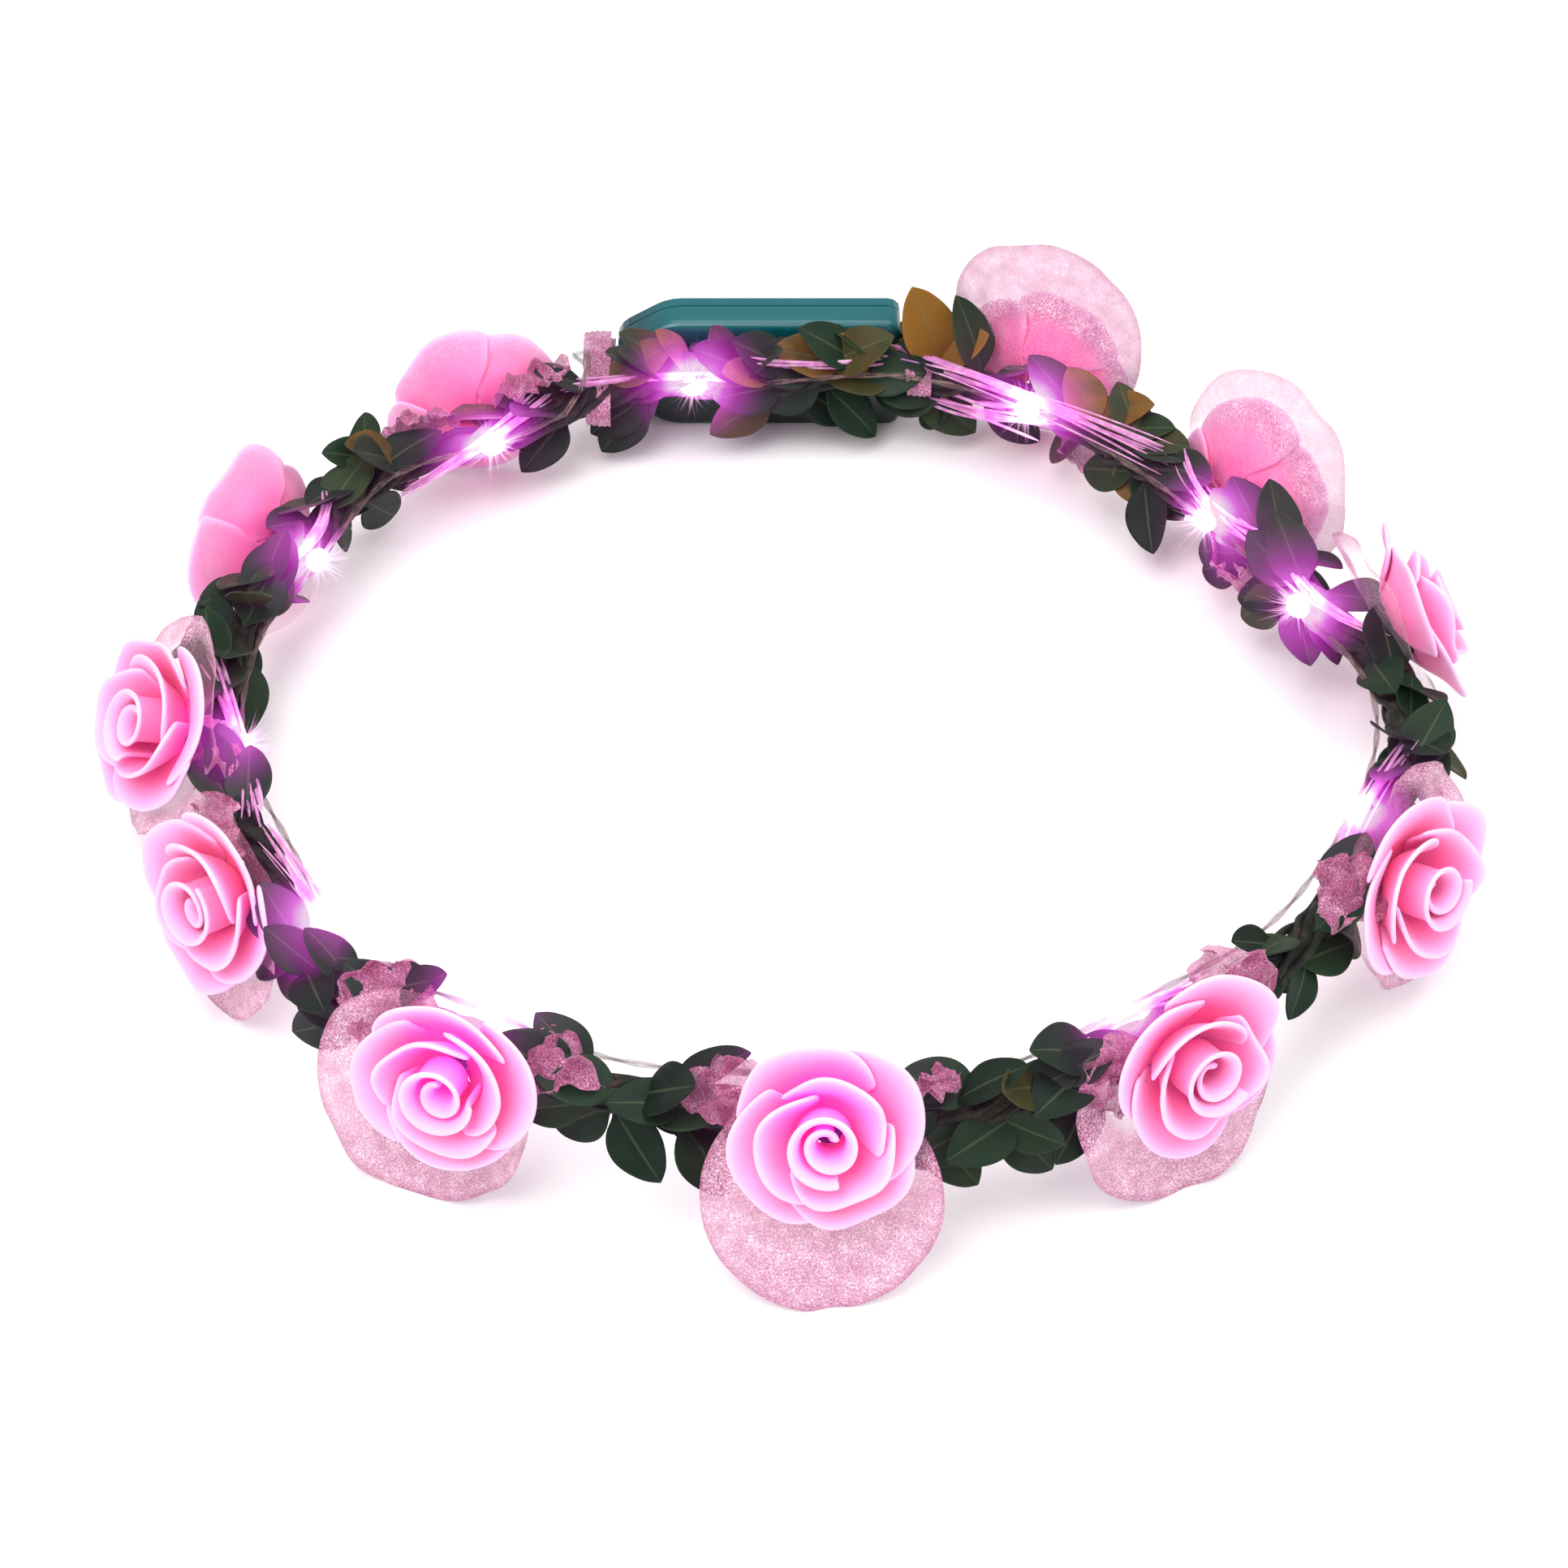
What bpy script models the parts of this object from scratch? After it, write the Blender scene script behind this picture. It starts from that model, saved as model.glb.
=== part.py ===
"""A light-up flower crown: a ring of taped garland wire with leaf sprigs, foam roses on organza
discs, a string of LED beads, and a coin-cell battery box tied on behind.

Frame: the ring's middle is the origin, +Z is up, the front rose is at -Y and the box at +Y.
Angles round the ring are in degrees from +X towards +Y. "Clock" is an angle round the vine
itself: 0 points outward, 90 up, 180 to the wearer's head. Lengths are in metres.
"""

import math

import bmesh
import bpy
from mathutils import Matrix, Vector

MM = 0.001

# ring
RING_RADIUS = 106 * MM  # of the vine's centre line, on average
RING_TILT = 5 * MM  # the front rides this much above the ring's middle, the back as much below
REST_DROP = 22 * MM  # from the ring's middle down to the table it lies on
VINE_RADIUS = 2.0 * MM
VINE_STATIONS = 80
VINE_BENDS = [  # hand-bent wire: angle, and millimetres out from RING_RADIUS
    (0, 4),
    (18, -4),
    (34, -6),
    (48, -4),
    (62, 0),
    (78, 3),
    (94, -1),
    (110, 1),
    (124, -3),
    (138, 2),
    (153, -2),
    (170, -1),
    (188, -1),
    (206, -3),
    (222, 3),
    (238, -1),
    (252, 1),
    (272, 0),
    (287, 4),
    (305, 0),
    (322, 2),
    (336, 2),
]
GAP = 0.3 * MM  # between pieces that would touch
SLIDE = 0.4 * MM  # between pieces that slide or pass through

# leaf sprigs
WRAP_WALL = 0.8 * MM  # floral tape and leaf stems round the vine
WRAP_EASE = 0.4 * MM  # more room in the wrap's bore for its flats and the vine's bends
WRAP_STEP = 2.5  # degrees between the wrap's rings
WRAP_SIDES = 10
LEAF_THICKNESS = 0.7 * MM
LEAF_ROOT = 0.15 * MM  # how deep a leaf's foot is sunk below the wrap's flats
LEAF_WIDTH = 0.5  # of the leaf's length
LEAF_FOLD = 0.25  # how far each half rises, as a share of half the leaf's width
LEAF_OUTLINE = [(0.0, 0.16), (0.22, 0.72), (0.45, 1.0), (0.7, 0.78), (0.9, 0.3)]

# roses and their discs
STEM_RADIUS = 1.1 * MM
STEM_LENGTH = 5.0 * MM
STEM_EASE = 0.3 * MM  # more room under a slanting stem where the vine bends
ROSE_RADIUS = 16.8 * MM
ROSE_HEIGHT = 14.0 * MM  # above the stem
CALYX_RADIUS = 5.7 * MM
PETAL_SLOPE = 0.56  # rise of the petals' underside, from the calyx outward
DISC_RADIUS = 20.5 * MM
DISC_THICKNESS = 0.6 * MM
DISC_SEAT = 2.6 * MM  # underside of the disc, out from the vine's surface
DISC_CUP = 3.2 * MM  # its rim stands this much nearer to the petals than its middle

# lead and LED beads
LEAD_RADIUS = 0.6 * MM
LEAD_CLOCK = 150  # it runs along the inner upper side of the vine
LEAD_STATIONS = 78
BEAD_RADIUS = 2.0 * MM
BEAD_LENGTH = 5.0 * MM
BEAD_EASE = 0.6 * MM  # between the bead's bore and the lead, which bends inside it
LEAD_END = 1.2 * MM  # lead past the middle of the last bead

# battery box: length along X, depth along Y from the head outward, height along Z
BOX_LENGTH = 56 * MM
BOX_HEIGHT = 25.5 * MM
BOX_DEPTH = 8.6 * MM
BOX_CENTRE_X = -7 * MM
BOX_STANDOFF = 5.5 * MM  # from RING_RADIUS out to the box's face
BOX_WALL = 1.2 * MM
BOX_CORNER = 2.5 * MM
BOX_RIM = 1.6 * MM  # rounding of the edge nearest the head
BAY_MARGIN = 0.5 * MM  # from the box's wall to the battery bay
NECK_LENGTH = 10 * MM  # bottle-shaped end where the lead leaves
NECK_HEIGHT = 13 * MM
NECK_INSET = (0.4, 0.7)  # share of the wall that the neck's shoulder and flank move in by
COVER_DEPTH = 2.4 * MM  # the outer shell's share of BOX_DEPTH
CELL_RADIUS = 10 * MM
CELL_THICKNESS = 3.2 * MM
CELL_SPACING = 20.8 * MM
STRIP_THICKNESS = 0.3 * MM
STRIP_HEIGHT = 6 * MM
DOOR_THICKNESS = 1.2 * MM
DOOR_LEDGE = 1.0 * MM
SCREW_RADIUS = 0.9 * MM
SCREW_HEAD_RADIUS = 1.7 * MM
SCREW_HEAD_HEIGHT = 0.8 * MM
SCREW_LENGTH = 4.2 * MM
SCREW_POINT = 0.5 * MM
SCREW_TAB = 4.6 * MM  # length of the door's screw tab
SWITCH_TRAVEL = 2.5 * MM
SLIDER_BASE = (2.8 * MM, 1.0 * MM, 4.6 * MM)
KNOB = (2.0 * MM, 2.4 * MM, 2.0 * MM)
KNOB_PROUD = 0.8 * MM  # how far the knob stands out of the box
BOARD = (5.2 * MM, 1.0 * MM, 9.6 * MM)
HOUSING_WALL = 0.8 * MM
RELIEF_LENGTH = 7 * MM
RELIEF_RADII = (2.6 * MM, 2.4 * MM, 1.5 * MM)  # at the box, a third of the way out, and its tip
LEAD_INSIDE = 2.0 * MM  # lead past the neck's outer face
LUG = (7 * MM, 1.6 * MM, 5 * MM)  # tab on the box's plain end that the ribbon ties down

# ribbon bindings
RIBBON_THICKNESS = 0.6 * MM
RIBBON_WIDTH = 3.6 * MM
RIBBON_EASE = 0.8 * MM  # between the ribbon and the wrap it passes round

# angles at which this box's ends stand: the lists below were chosen with these, and on another ring
# or box spaced() shares them out again
BOX_ENDS = (78.65, 108.92)

# roses: angle round the ring, turn away from straight out, tilt up, all in degrees, and how far
# the disc's middle lies to the right of and above its hole in millimetres; None for one whose
# rim hangs down to the table
ROSES = [
    (273, 0, 24, -1, None),
    (239, 12, 12, -6, None),
    (207, 23, 12, -3, None),
    (183, 24, 28, -2, -2),
    (152, -12, -11, 2, 3),
    (125, -16, -3, 2, 6),
    (65, 12, -2, -1, 12),
    (37, 18, -9, -5, 9),
    (11, -16, 22, 2, -3),
    (336, -16, 14, 5, -3),
    (305, -6, 12, -2, None),
]

# LED beads: angle round the ring, counted on past a full turn from the box's neck
BEAD_ANGLES = [126, 155, 188, 217, 239, 272, 303, 342, 377, 395, 423, 461]

# leaf sprigs: first and last angle, then each leaf as share along, clock, lift, length in mm;
# a negative length points the leaf back along the vine
SPRIGS = [
    (
        (250, 262),
        [(0.1, 110, 40, -14), (0.3, -60, 50, 15), (0.5, 60, 45, 16), (0.8, -75, 60, 17)],
    ),
    (
        (217, 223),
        [(0.3, -110, 35, 11), (0.7, 100, 40, 11)],
    ),
    (
        (193, 199),
        [(0.3, 100, 45, -13), (0.6, -60, 50, 12)],
    ),
    (
        (164, 174),
        [(0.1, 100, 60, 14), (0.5, -110, 45, 16), (0.6, 30, 45, 12), (0.9, 100, 50, 12)],
    ),
    (
        (135, 142),
        [(0.2, 110, 50, 15), (0.5, 30, 50, -13), (0.8, -100, 50, -15)],
    ),
    (
        (101, 107),
        [(0.2, 80, 40, 15), (0.5, 110, 50, 14), (0.8, -100, 50, 15)],
    ),
    (
        (82, 96),
        [(0.1, 100, 50, 15), (0.35, -120, 45, -15), (0.6, 100, 40, 15), (0.9, 110, 45, 15)],
    ),
    (
        (69, 75),
        [(0.2, 80, 75, 17), (0.7, -90, 50, 14)],
    ),
    (
        (46, 54),
        [(0.2, -130, 50, -15), (0.5, 60, 40, 14), (0.8, -60, 45, 14)],
    ),
    (
        (18, 26),
        [(0.2, 100, 60, 15), (0.5, -120, 50, 14), (0.8, 80, 55, 16)],
    ),
    (
        (346, 359),
        [(0.1, -110, 45, 15), (0.3, 60, 45, 15), (0.6, 110, 50, -14), (0.9, -20, 40, -14)],
    ),
    (
        (280, 293),
        [(0.1, -70, 50, 15), (0.3, 80, 45, 15), (0.6, -60, 55, 15), (0.9, 60, 40, -14)],
    ),
]

COLOURS = {  # name: (linear colour, roughness, metallic)
    "vine_tape": ((0.03, 0.04, 0.02, 1), 0.75, 0.0),
    "leaf_fabric": ((0.02, 0.07, 0.03, 1), 0.6, 0.0),
    "rose_foam": ((1.0, 0.32, 0.62, 1), 0.55, 0.0),
    "disc_organza": ((0.85, 0.45, 0.6, 1), 0.5, 0.0),
    "clear_lead": ((0.8, 0.75, 0.8, 1), 0.2, 0.0),
    "led_epoxy": ((1.0, 0.8, 1.0, 1), 0.1, 0.0),
    "box_plastic": ((0.0, 0.13, 0.16, 1), 0.35, 0.0),
    "cell_steel": ((0.75, 0.75, 0.75, 1), 0.25, 1.0),
    "contact_metal": ((0.8, 0.6, 0.3, 1), 0.3, 1.0),
    "board_laminate": ((0.02, 0.2, 0.07, 1), 0.45, 0.0),
    "switch_plastic": ((0.03, 0.03, 0.03, 1), 0.4, 0.0),
    "ribbon_organza": ((0.8, 0.45, 0.6, 1), 0.5, 0.0),
}


def clear_scene():
    for thing in list(bpy.data.objects):
        bpy.data.objects.remove(thing)


def make_material(name):
    material = bpy.data.materials.get(name)
    if material is None:
        colour, roughness, metallic = COLOURS[name]
        material = bpy.data.materials.new(name)
        material.use_nodes = True
        shader = material.node_tree.nodes["Principled BSDF"]
        shader.inputs["Base Color"].default_value = colour
        shader.inputs["Roughness"].default_value = roughness
        shader.inputs["Metallic"].default_value = metallic
    return material


def add_object(name, bm, material, smooth=True, matrix=None):
    """Turn a bmesh into a named object, outward-facing, smooth where it is round."""
    bmesh.ops.recalc_face_normals(bm, faces=bm.faces)
    if bm.calc_volume(signed=True) < 0:
        bmesh.ops.reverse_faces(bm, faces=bm.faces)
    mesh = bpy.data.meshes.new(name)
    bm.to_mesh(mesh)
    bm.free()
    mesh.materials.append(make_material(material))
    if smooth:
        mesh.shade_smooth()
        mesh.set_sharp_from_angle(angle=math.radians(40))
    thing = bpy.data.objects.new(name, mesh)
    if matrix is not None:
        thing.matrix_world = matrix
    bpy.context.scene.collection.objects.link(thing)
    return thing


def combine(target, other, operation):
    """Boolean one hidden object into another, and keep it live as a modifier."""
    other.hide_render = True
    other.display_type = "WIRE"
    modifier = target.modifiers.new(operation.lower(), "BOOLEAN")
    modifier.operation = operation
    modifier.object = other
    modifier.solver = "EXACT"


def loft(bm, rings, sides, closed=False, lobes=None):
    """Extrude a circle from ring to ring. Each ring is (matrix, radius); closed comes back to the
    first ring, and lobes makes each ring wavy by its own share."""
    steps = list(range(len(rings))) + ([0] if closed else [])
    made = bmesh.ops.create_circle(bm, segments=sides, radius=1.0)["verts"]
    angles = {vert: math.atan2(vert.co.y, vert.co.x) for vert in made}
    start = list(made)
    edges = [edge for edge in bm.edges if angles.keys() >= set(edge.verts)]
    first_loop = edges
    for count, step in enumerate(steps):
        matrix, radius = rings[step]
        if count:
            grown = bmesh.ops.extrude_edge_only(bm, edges=edges)["geom"]
            edges = [item for item in grown if isinstance(item, bmesh.types.BMEdge)]
            fresh = {vert for edge in edges for vert in edge.verts}
            side_edges = [(vert, edge) for vert in fresh for edge in vert.link_edges]
            partners = {v: e.other_vert(v) for v, e in side_edges if e not in edges}
            angles = {vert: angles[partners[vert]] for vert in fresh}
        for vert, angle in angles.items():
            wave = 1 + (lobes[step] * math.cos(5 * angle + step) if lobes else 0)
            flat = Vector((math.cos(angle), math.sin(angle), 0)) * radius * wave
            vert.co = matrix @ flat
    if closed:
        bmesh.ops.remove_doubles(bm, verts=start + list(angles), dist=0.001 * MM)
    else:
        for loop in (first_loop, edges):
            bmesh.ops.contextual_create(bm, geom=loop)


def box_mesh(bm, low, high):
    """A box from its lowest to its highest corner."""
    low, high = Vector(low), Vector(high)
    size = Matrix.Diagonal((*(high - low), 1))
    bmesh.ops.create_cube(bm, size=1, matrix=Matrix.Translation((low + high) / 2) @ size)


def turned(name, profile, sides, matrix, material, closed=False):
    """A piece turned about its own Z: profile is a row of (radius, height)."""
    bm = bmesh.new()
    loft(bm, [(Matrix.Translation((0, 0, h)), r) for r, h in profile], sides, closed)
    return add_object(name, bm, material, matrix=matrix)


def facing(place, direction):
    """A frame at place whose Z points along direction and whose Y stays as near up as it can."""
    z = Vector(direction).normalized()
    x = Vector((0, 0, 1)).cross(z).normalized()
    y = z.cross(x)
    frame = Matrix((x, y, z)).transposed().to_4x4()
    return Matrix.Translation(place) @ frame


# ---- the vine and everything placed along it ----


def bend_at(angle):
    """How far out the wire is bent at this angle: a smooth closed curve through VINE_BENDS."""
    angle = angle % 360
    count = len(VINE_BENDS)
    index = max(i for i in range(count) if VINE_BENDS[i][0] <= angle)
    around = [VINE_BENDS[(index + step) % count] for step in (-1, 0, 1, 2)]
    turns = [360 * ((index + step) // count) for step in (-1, 0, 1, 2)]
    a = [place[0] + turn for place, turn in zip(around, turns)]
    b = [place[1] * MM for place in around]
    span = a[2] - a[1]
    t = (angle - a[1]) / span
    slope_in = (b[2] - b[0]) / (a[2] - a[0]) * span
    slope_out = (b[3] - b[1]) / (a[3] - a[1]) * span
    return (
        (2 * t**3 - 3 * t**2 + 1) * b[1]
        + (t**3 - 2 * t**2 + t) * slope_in
        + (3 * t**2 - 2 * t**3) * b[2]
        + (t**3 - t**2) * slope_out
    )


def box_ends():
    """The angles round the ring at which the box's right and left ends stand."""
    right = math.degrees((BOX_CENTRE_X + BOX_LENGTH / 2) / RING_RADIUS)
    left = math.degrees((BOX_CENTRE_X - BOX_LENGTH / 2) / RING_RADIUS)
    return 90 - right, 90 - left


def spaced(listed):
    """Where a listed angle falls on this ring: it keeps its share of the way along the box, or
    of the way round the open vine from one end of the box to the other."""
    turns, part = divmod(listed - BOX_ENDS[0], 360)
    span = BOX_ENDS[1] - BOX_ENDS[0]
    right, left = box_ends()
    if part < span:
        return 360 * turns + right + (left - right) * part / span
    share = (part - span) / (360 - span)
    return 360 * turns + left + (360 + right - left) * share


def arc(length):
    """Degrees round the ring for a length along the vine."""
    return math.degrees(length / RING_RADIUS)


def vine_point(angle):
    radius = RING_RADIUS + bend_at(angle)
    turn = math.radians(angle)
    height = -RING_TILT * math.sin(turn)
    return Vector((radius * math.cos(turn), radius * math.sin(turn), height))


def vine_frame(angle):
    """The vine's place at this angle, with its forward, outward and upward directions."""
    forward = (vine_point(angle + 0.5) - vine_point(angle - 0.5)).normalized()
    outward = forward.cross(Vector((0, 0, 1))).normalized()
    upward = outward.cross(forward)
    return vine_point(angle), forward, outward, upward


def beside_vine(angle, clock, distance):
    """A point at this distance from the vine's centre line, in the clock direction."""
    place, _, outward, upward = vine_frame(angle)
    turn = math.radians(clock)
    return place + distance * (outward * math.cos(turn) + upward * math.sin(turn))


def ring_matrix(angle):
    """A frame across the vine: Z runs along it, X outward, Y up."""
    place, forward, outward, upward = vine_frame(angle)
    frame = Matrix((outward, upward, outward.cross(upward))).transposed().to_4x4()
    return Matrix.Translation(place) @ frame


def tube_curve(name, points, radius, material, cyclic=False):
    curve = bpy.data.curves.new(name, "CURVE")
    curve.dimensions = "3D"
    curve.bevel_depth = radius
    curve.bevel_resolution = 2
    curve.render_resolution_u = 0
    curve.use_fill_caps = not cyclic
    spline = curve.splines.new("POLY")
    spline.points.add(len(points) - 1)
    for target, place in zip(spline.points, points):
        target.co = (*place, 1)
    spline.use_cyclic_u = cyclic
    spline.use_smooth = True
    curve.materials.append(make_material(material))
    thing = bpy.data.objects.new(name, curve)
    bpy.context.scene.collection.objects.link(thing)
    return thing


def make_vine():
    points = [vine_point(360 * i / VINE_STATIONS) for i in range(VINE_STATIONS)]
    tube_curve("vine_ring", points, VINE_RADIUS, "vine_tape", cyclic=True)


def leaf_mesh(bm, base, along, across, length):
    """A pointed oval blade, folded a little along its midrib, with a short stalk end."""
    face = along.cross(across).normalized()
    width = LEAF_WIDTH * length / 2
    rows = []
    for share, half in LEAF_OUTLINE:
        rows.append([(share, -half), (share, 0.0), (share, half)])
    top = []
    for row in rows:
        for share, half in row:
            sag = abs(half) * width * LEAF_FOLD
            top.append(base + along * share * length + across * half * width + face * sag)
    tip = base + along * length
    verts = [bm.verts.new(place) for place in top] + [bm.verts.new(tip)]
    last = len(rows) - 1
    for row in range(last):
        for column in (0, 1):
            corner = row * 3 + column
            bm.faces.new([verts[i] for i in (corner, corner + 1, corner + 4, corner + 3)])
    for column in (0, 1):
        bm.faces.new([verts[last * 3 + column], verts[last * 3 + column + 1], verts[-1]])
    blade = list(bm.faces)
    bmesh.ops.recalc_face_normals(bm, faces=blade)
    bmesh.ops.solidify(bm, geom=blade, thickness=LEAF_THICKNESS)


def make_leaf(name, angle, clock, lift, length):
    """A hidden solid leaf that starts inside the tape wrap and leans off the vine."""
    _, forward, outward, upward = vine_frame(angle)
    turn = math.radians(clock)
    radial = outward * math.cos(turn) + upward * math.sin(turn)
    heading = forward * math.copysign(1, length)
    rise = math.radians(lift)
    along = (heading * math.cos(rise) + radial * math.sin(rise)).normalized()
    across = forward.cross(radial).normalized()
    flat = (wrap_inner() + WRAP_WALL) * math.cos(math.pi / WRAP_SIDES)
    base = beside_vine(angle, clock, flat - LEAF_ROOT)
    bm = bmesh.new()
    leaf_mesh(bm, base, along, across, abs(length) * MM)
    return add_object(name, bm, "leaf_fabric", smooth=False)


def wrap_inner():
    """The tape wrap's bore: its flats and the vine's bends both use up a little of the gap."""
    return VINE_RADIUS + GAP + WRAP_EASE


def make_sprigs():
    """A tape wrap round the vine for each sprig, with its leaves joined on."""
    inner = wrap_inner()
    outer = inner + WRAP_WALL
    for number, (ends, leaves) in enumerate(SPRIGS, 1):
        first, last = (spaced(angle) for angle in ends)
        steps = max(2, round((last - first) / WRAP_STEP))
        angles = [first + (last - first) * i / steps for i in range(steps + 1)]
        rings = [(ring_matrix(a), outer) for a in angles]
        rings += [(ring_matrix(a), inner) for a in reversed(angles)]
        bm = bmesh.new()
        loft(bm, rings, WRAP_SIDES, closed=True)
        name = f"leaf_sprig_{number:02d}"
        wrap = add_object(name, bm, "leaf_fabric")
        for order, (share, clock, lift, length) in enumerate(leaves, 1):
            angle = first + (last - first) * share
            leaf = make_leaf(f"leaf_{number:02d}_{order}", angle, clock, lift, length)
            combine(wrap, leaf, "UNION")


def rose_frame(angle, turn, tilt):
    """A frame on the vine's centre line whose Z is the way the rose faces."""
    _, _, outward, _ = vine_frame(angle)
    flat = Matrix.Rotation(math.radians(turn), 3, "Z") @ outward
    rise = math.radians(tilt)
    face = flat * math.cos(rise) + Vector((0, 0, math.sin(rise)))
    return facing(vine_point(angle), face)


def make_roses():
    """Each rose is one foam body: a stem, a cupped ring of petals, an inner ring and a bud."""
    collar = VINE_RADIUS + GAP + STEM_LENGTH
    calyx = collar + 0.05 * ROSE_HEIGHT
    belly = calyx + (0.8 * ROSE_RADIUS - CALYX_RADIUS) * PETAL_SLOPE
    profile = [  # share of ROSE_RADIUS, height from the vine's centre line, lobes
        (STEM_RADIUS / ROSE_RADIUS, collar, 0.0),
        (CALYX_RADIUS / ROSE_RADIUS, calyx, 0.0),
        (0.8, belly, 0.03),
        (1.0, collar + 0.66 * ROSE_HEIGHT, 0.05),
        (0.94, collar + 0.7 * ROSE_HEIGHT, 0.05),
        (0.7, collar + 0.55 * ROSE_HEIGHT, 0.0),
        (0.68, collar + 0.88 * ROSE_HEIGHT, 0.04),
        (0.6, collar + 0.88 * ROSE_HEIGHT, 0.04),
        (0.46, collar + 0.72 * ROSE_HEIGHT, 0.0),
        (0.42, collar + ROSE_HEIGHT, 0.0),
        (0.3, collar + ROSE_HEIGHT, 0.0),
        (0.14, collar + 0.88 * ROSE_HEIGHT, 0.0),
    ]
    petals = [(Matrix.Translation((0, 0, h)), r * ROSE_RADIUS) for r, h, _ in profile]
    lobes = [0.0] + [lobe for _, _, lobe in profile]
    for number, (listed, turn, tilt, right, up) in enumerate(ROSES, 1):
        angle = spaced(listed)
        frame = rose_frame(angle, turn, tilt)
        slant = math.radians(abs(turn))
        foot = (VINE_RADIUS + GAP) / math.cos(slant) + STEM_RADIUS * math.tan(slant) + STEM_EASE
        bm = bmesh.new()
        loft(bm, [(Matrix.Translation((0, 0, foot)), STEM_RADIUS)] + petals, 15, lobes=lobes)
        add_object(f"rose_{number:02d}", bm, "rose_foam", matrix=frame)
        half_turned = rose_frame(angle, turn / 2, tilt)
        make_disc(number, half_turned, frame.col[2].xyz, math.radians(tilt), right, up)


def make_disc(number, frame, stem, tilt, right, up):
    """A cupped round of organza on the stem, turned half as far as its rose, hole off its middle."""
    along = frame.to_3x3().inverted() @ stem  # the stem in the disc's own frame
    seat = VINE_RADIUS + GAP + DISC_SEAT
    middle = seat + DISC_THICKNESS / 2
    hole = along * (middle / along.z)
    hole.z = 0
    slant = math.hypot(along.x, along.y) / along.z
    bore = STEM_RADIUS / along.z + DISC_THICKNESS / 2 * slant + SLIDE
    if up is None:
        rim = frame @ Vector((0, hole.y, seat + DISC_CUP))
        drop = rim.z + REST_DROP - DISC_RADIUS * math.cos(tilt)
        shift = Vector((right * MM, -drop / math.cos(tilt), 0))
    else:
        shift = Vector((right * MM, up * MM, 0))
    rings = []
    for height, order in ((seat, 1), (seat + DISC_THICKNESS, -1)):
        low = Matrix.Translation(hole + Vector((0, 0, height)))
        high = Matrix.Translation(hole + shift + Vector((0, 0, height + DISC_CUP)))
        rings += [(low, bore), (high, DISC_RADIUS)][::order]
    bm = bmesh.new()
    loft(bm, rings, 20, closed=True)
    add_object(f"organza_disc_{number:02d}", bm, "disc_organza", matrix=frame)


# ---- the lead and its LED beads ----


def lead_distance():
    """From the vine's centre line to the lead's, so that a bead clears the leaf wraps."""
    return wrap_inner() + WRAP_WALL + GAP + BEAD_RADIUS


def box_matrix():
    return Matrix.Translation(
        (BOX_CENTRE_X, RING_RADIUS + BOX_STANDOFF, BOX_HEIGHT / 2 - REST_DROP)
    )


def relief_end():
    """Where the lead comes out of the strain relief, in world coordinates."""
    mouth = -BOX_LENGTH / 2 - RELIEF_LENGTH - GAP
    return box_matrix() @ Vector((mouth, BOX_DEPTH / 2, 0))


def lead_point(angle):
    return beside_vine(angle, LEAD_CLOCK, lead_distance())


def make_lead():
    """Out of the box, up over the vine, then all the way round to the last bead."""
    start = relief_end()
    leave = math.degrees(math.atan2(start.y, start.x))
    inside = start + Vector((RELIEF_LENGTH + GAP + LEAD_INSIDE, 0, 0))
    near = lead_distance()
    crossing = [inside, start, start + Vector((-2 * MM, -1.5 * MM, 3 * MM))]
    crossing.append(beside_vine(leave + arc(1.6 * MM), 45, near + 2.8 * MM))
    crossing.append(beside_vine(leave + arc(4.0 * MM), 85, near + 1 * MM))
    crossing.append(beside_vine(leave + arc(8.0 * MM), 120, near))
    first = leave + arc(13.5 * MM)
    last = spaced(BEAD_ANGLES[-1]) + arc(LEAD_END)
    count = LEAD_STATIONS - len(crossing)
    along = [lead_point(first + (last - first) * i / (count - 1)) for i in range(count)]
    tube_curve("led_wire", crossing + along, LEAD_RADIUS, "clear_lead")


def make_beads():
    """Open-ended barrels threaded on the lead."""
    bore = LEAD_RADIUS + BEAD_EASE
    half = BEAD_LENGTH / 2
    profile = [
        (bore, -half),
        (BEAD_RADIUS * 0.75, -half),
        (BEAD_RADIUS, -half * 0.6),
        (BEAD_RADIUS, half * 0.6),
        (BEAD_RADIUS * 0.75, half),
        (bore, half),
    ]
    for number, listed in enumerate(BEAD_ANGLES, 1):
        angle = spaced(listed)
        middle = lead_point(angle)
        along = lead_point(angle + 0.7) - lead_point(angle - 0.7)
        frame = facing(middle, along)
        turned(f"led_bead_{number:02d}", profile, 8, frame, "led_epoxy", closed=True)


# ---- the battery box ----


def box_outline(inset, low, high):
    """The bottle-shaped outline of the box, pulled in by inset, extruded in Y from low to high."""
    right = BOX_LENGTH / 2 - inset
    left = -BOX_LENGTH / 2 + inset
    shoulder = -BOX_LENGTH / 2 + NECK_LENGTH + inset * NECK_INSET[0]
    tall = BOX_HEIGHT / 2 - inset
    neck = NECK_HEIGHT / 2 - inset * NECK_INSET[1]
    corners = [(right, -tall), (right, tall), (shoulder, tall), (left, neck), (left, -neck)]
    corners.append((shoulder, -tall))
    bm = bmesh.new()
    verts = [bm.verts.new((x, low, z)) for x, z in corners]
    face = bm.faces.new(verts)
    radius = max(BOX_CORNER - inset, 0.4 * MM)
    bmesh.ops.bevel(
        bm,
        geom=verts,
        offset=radius,
        affect="VERTICES",
        segments=3,
        profile=0.5,
        material=-1,
    )
    grown = bmesh.ops.extrude_face_region(bm, geom=list(bm.faces))
    moved = [item for item in grown["geom"] if isinstance(item, bmesh.types.BMVert)]
    bmesh.ops.translate(bm, verts=moved, vec=(0, high - low, 0))
    return bm


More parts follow.
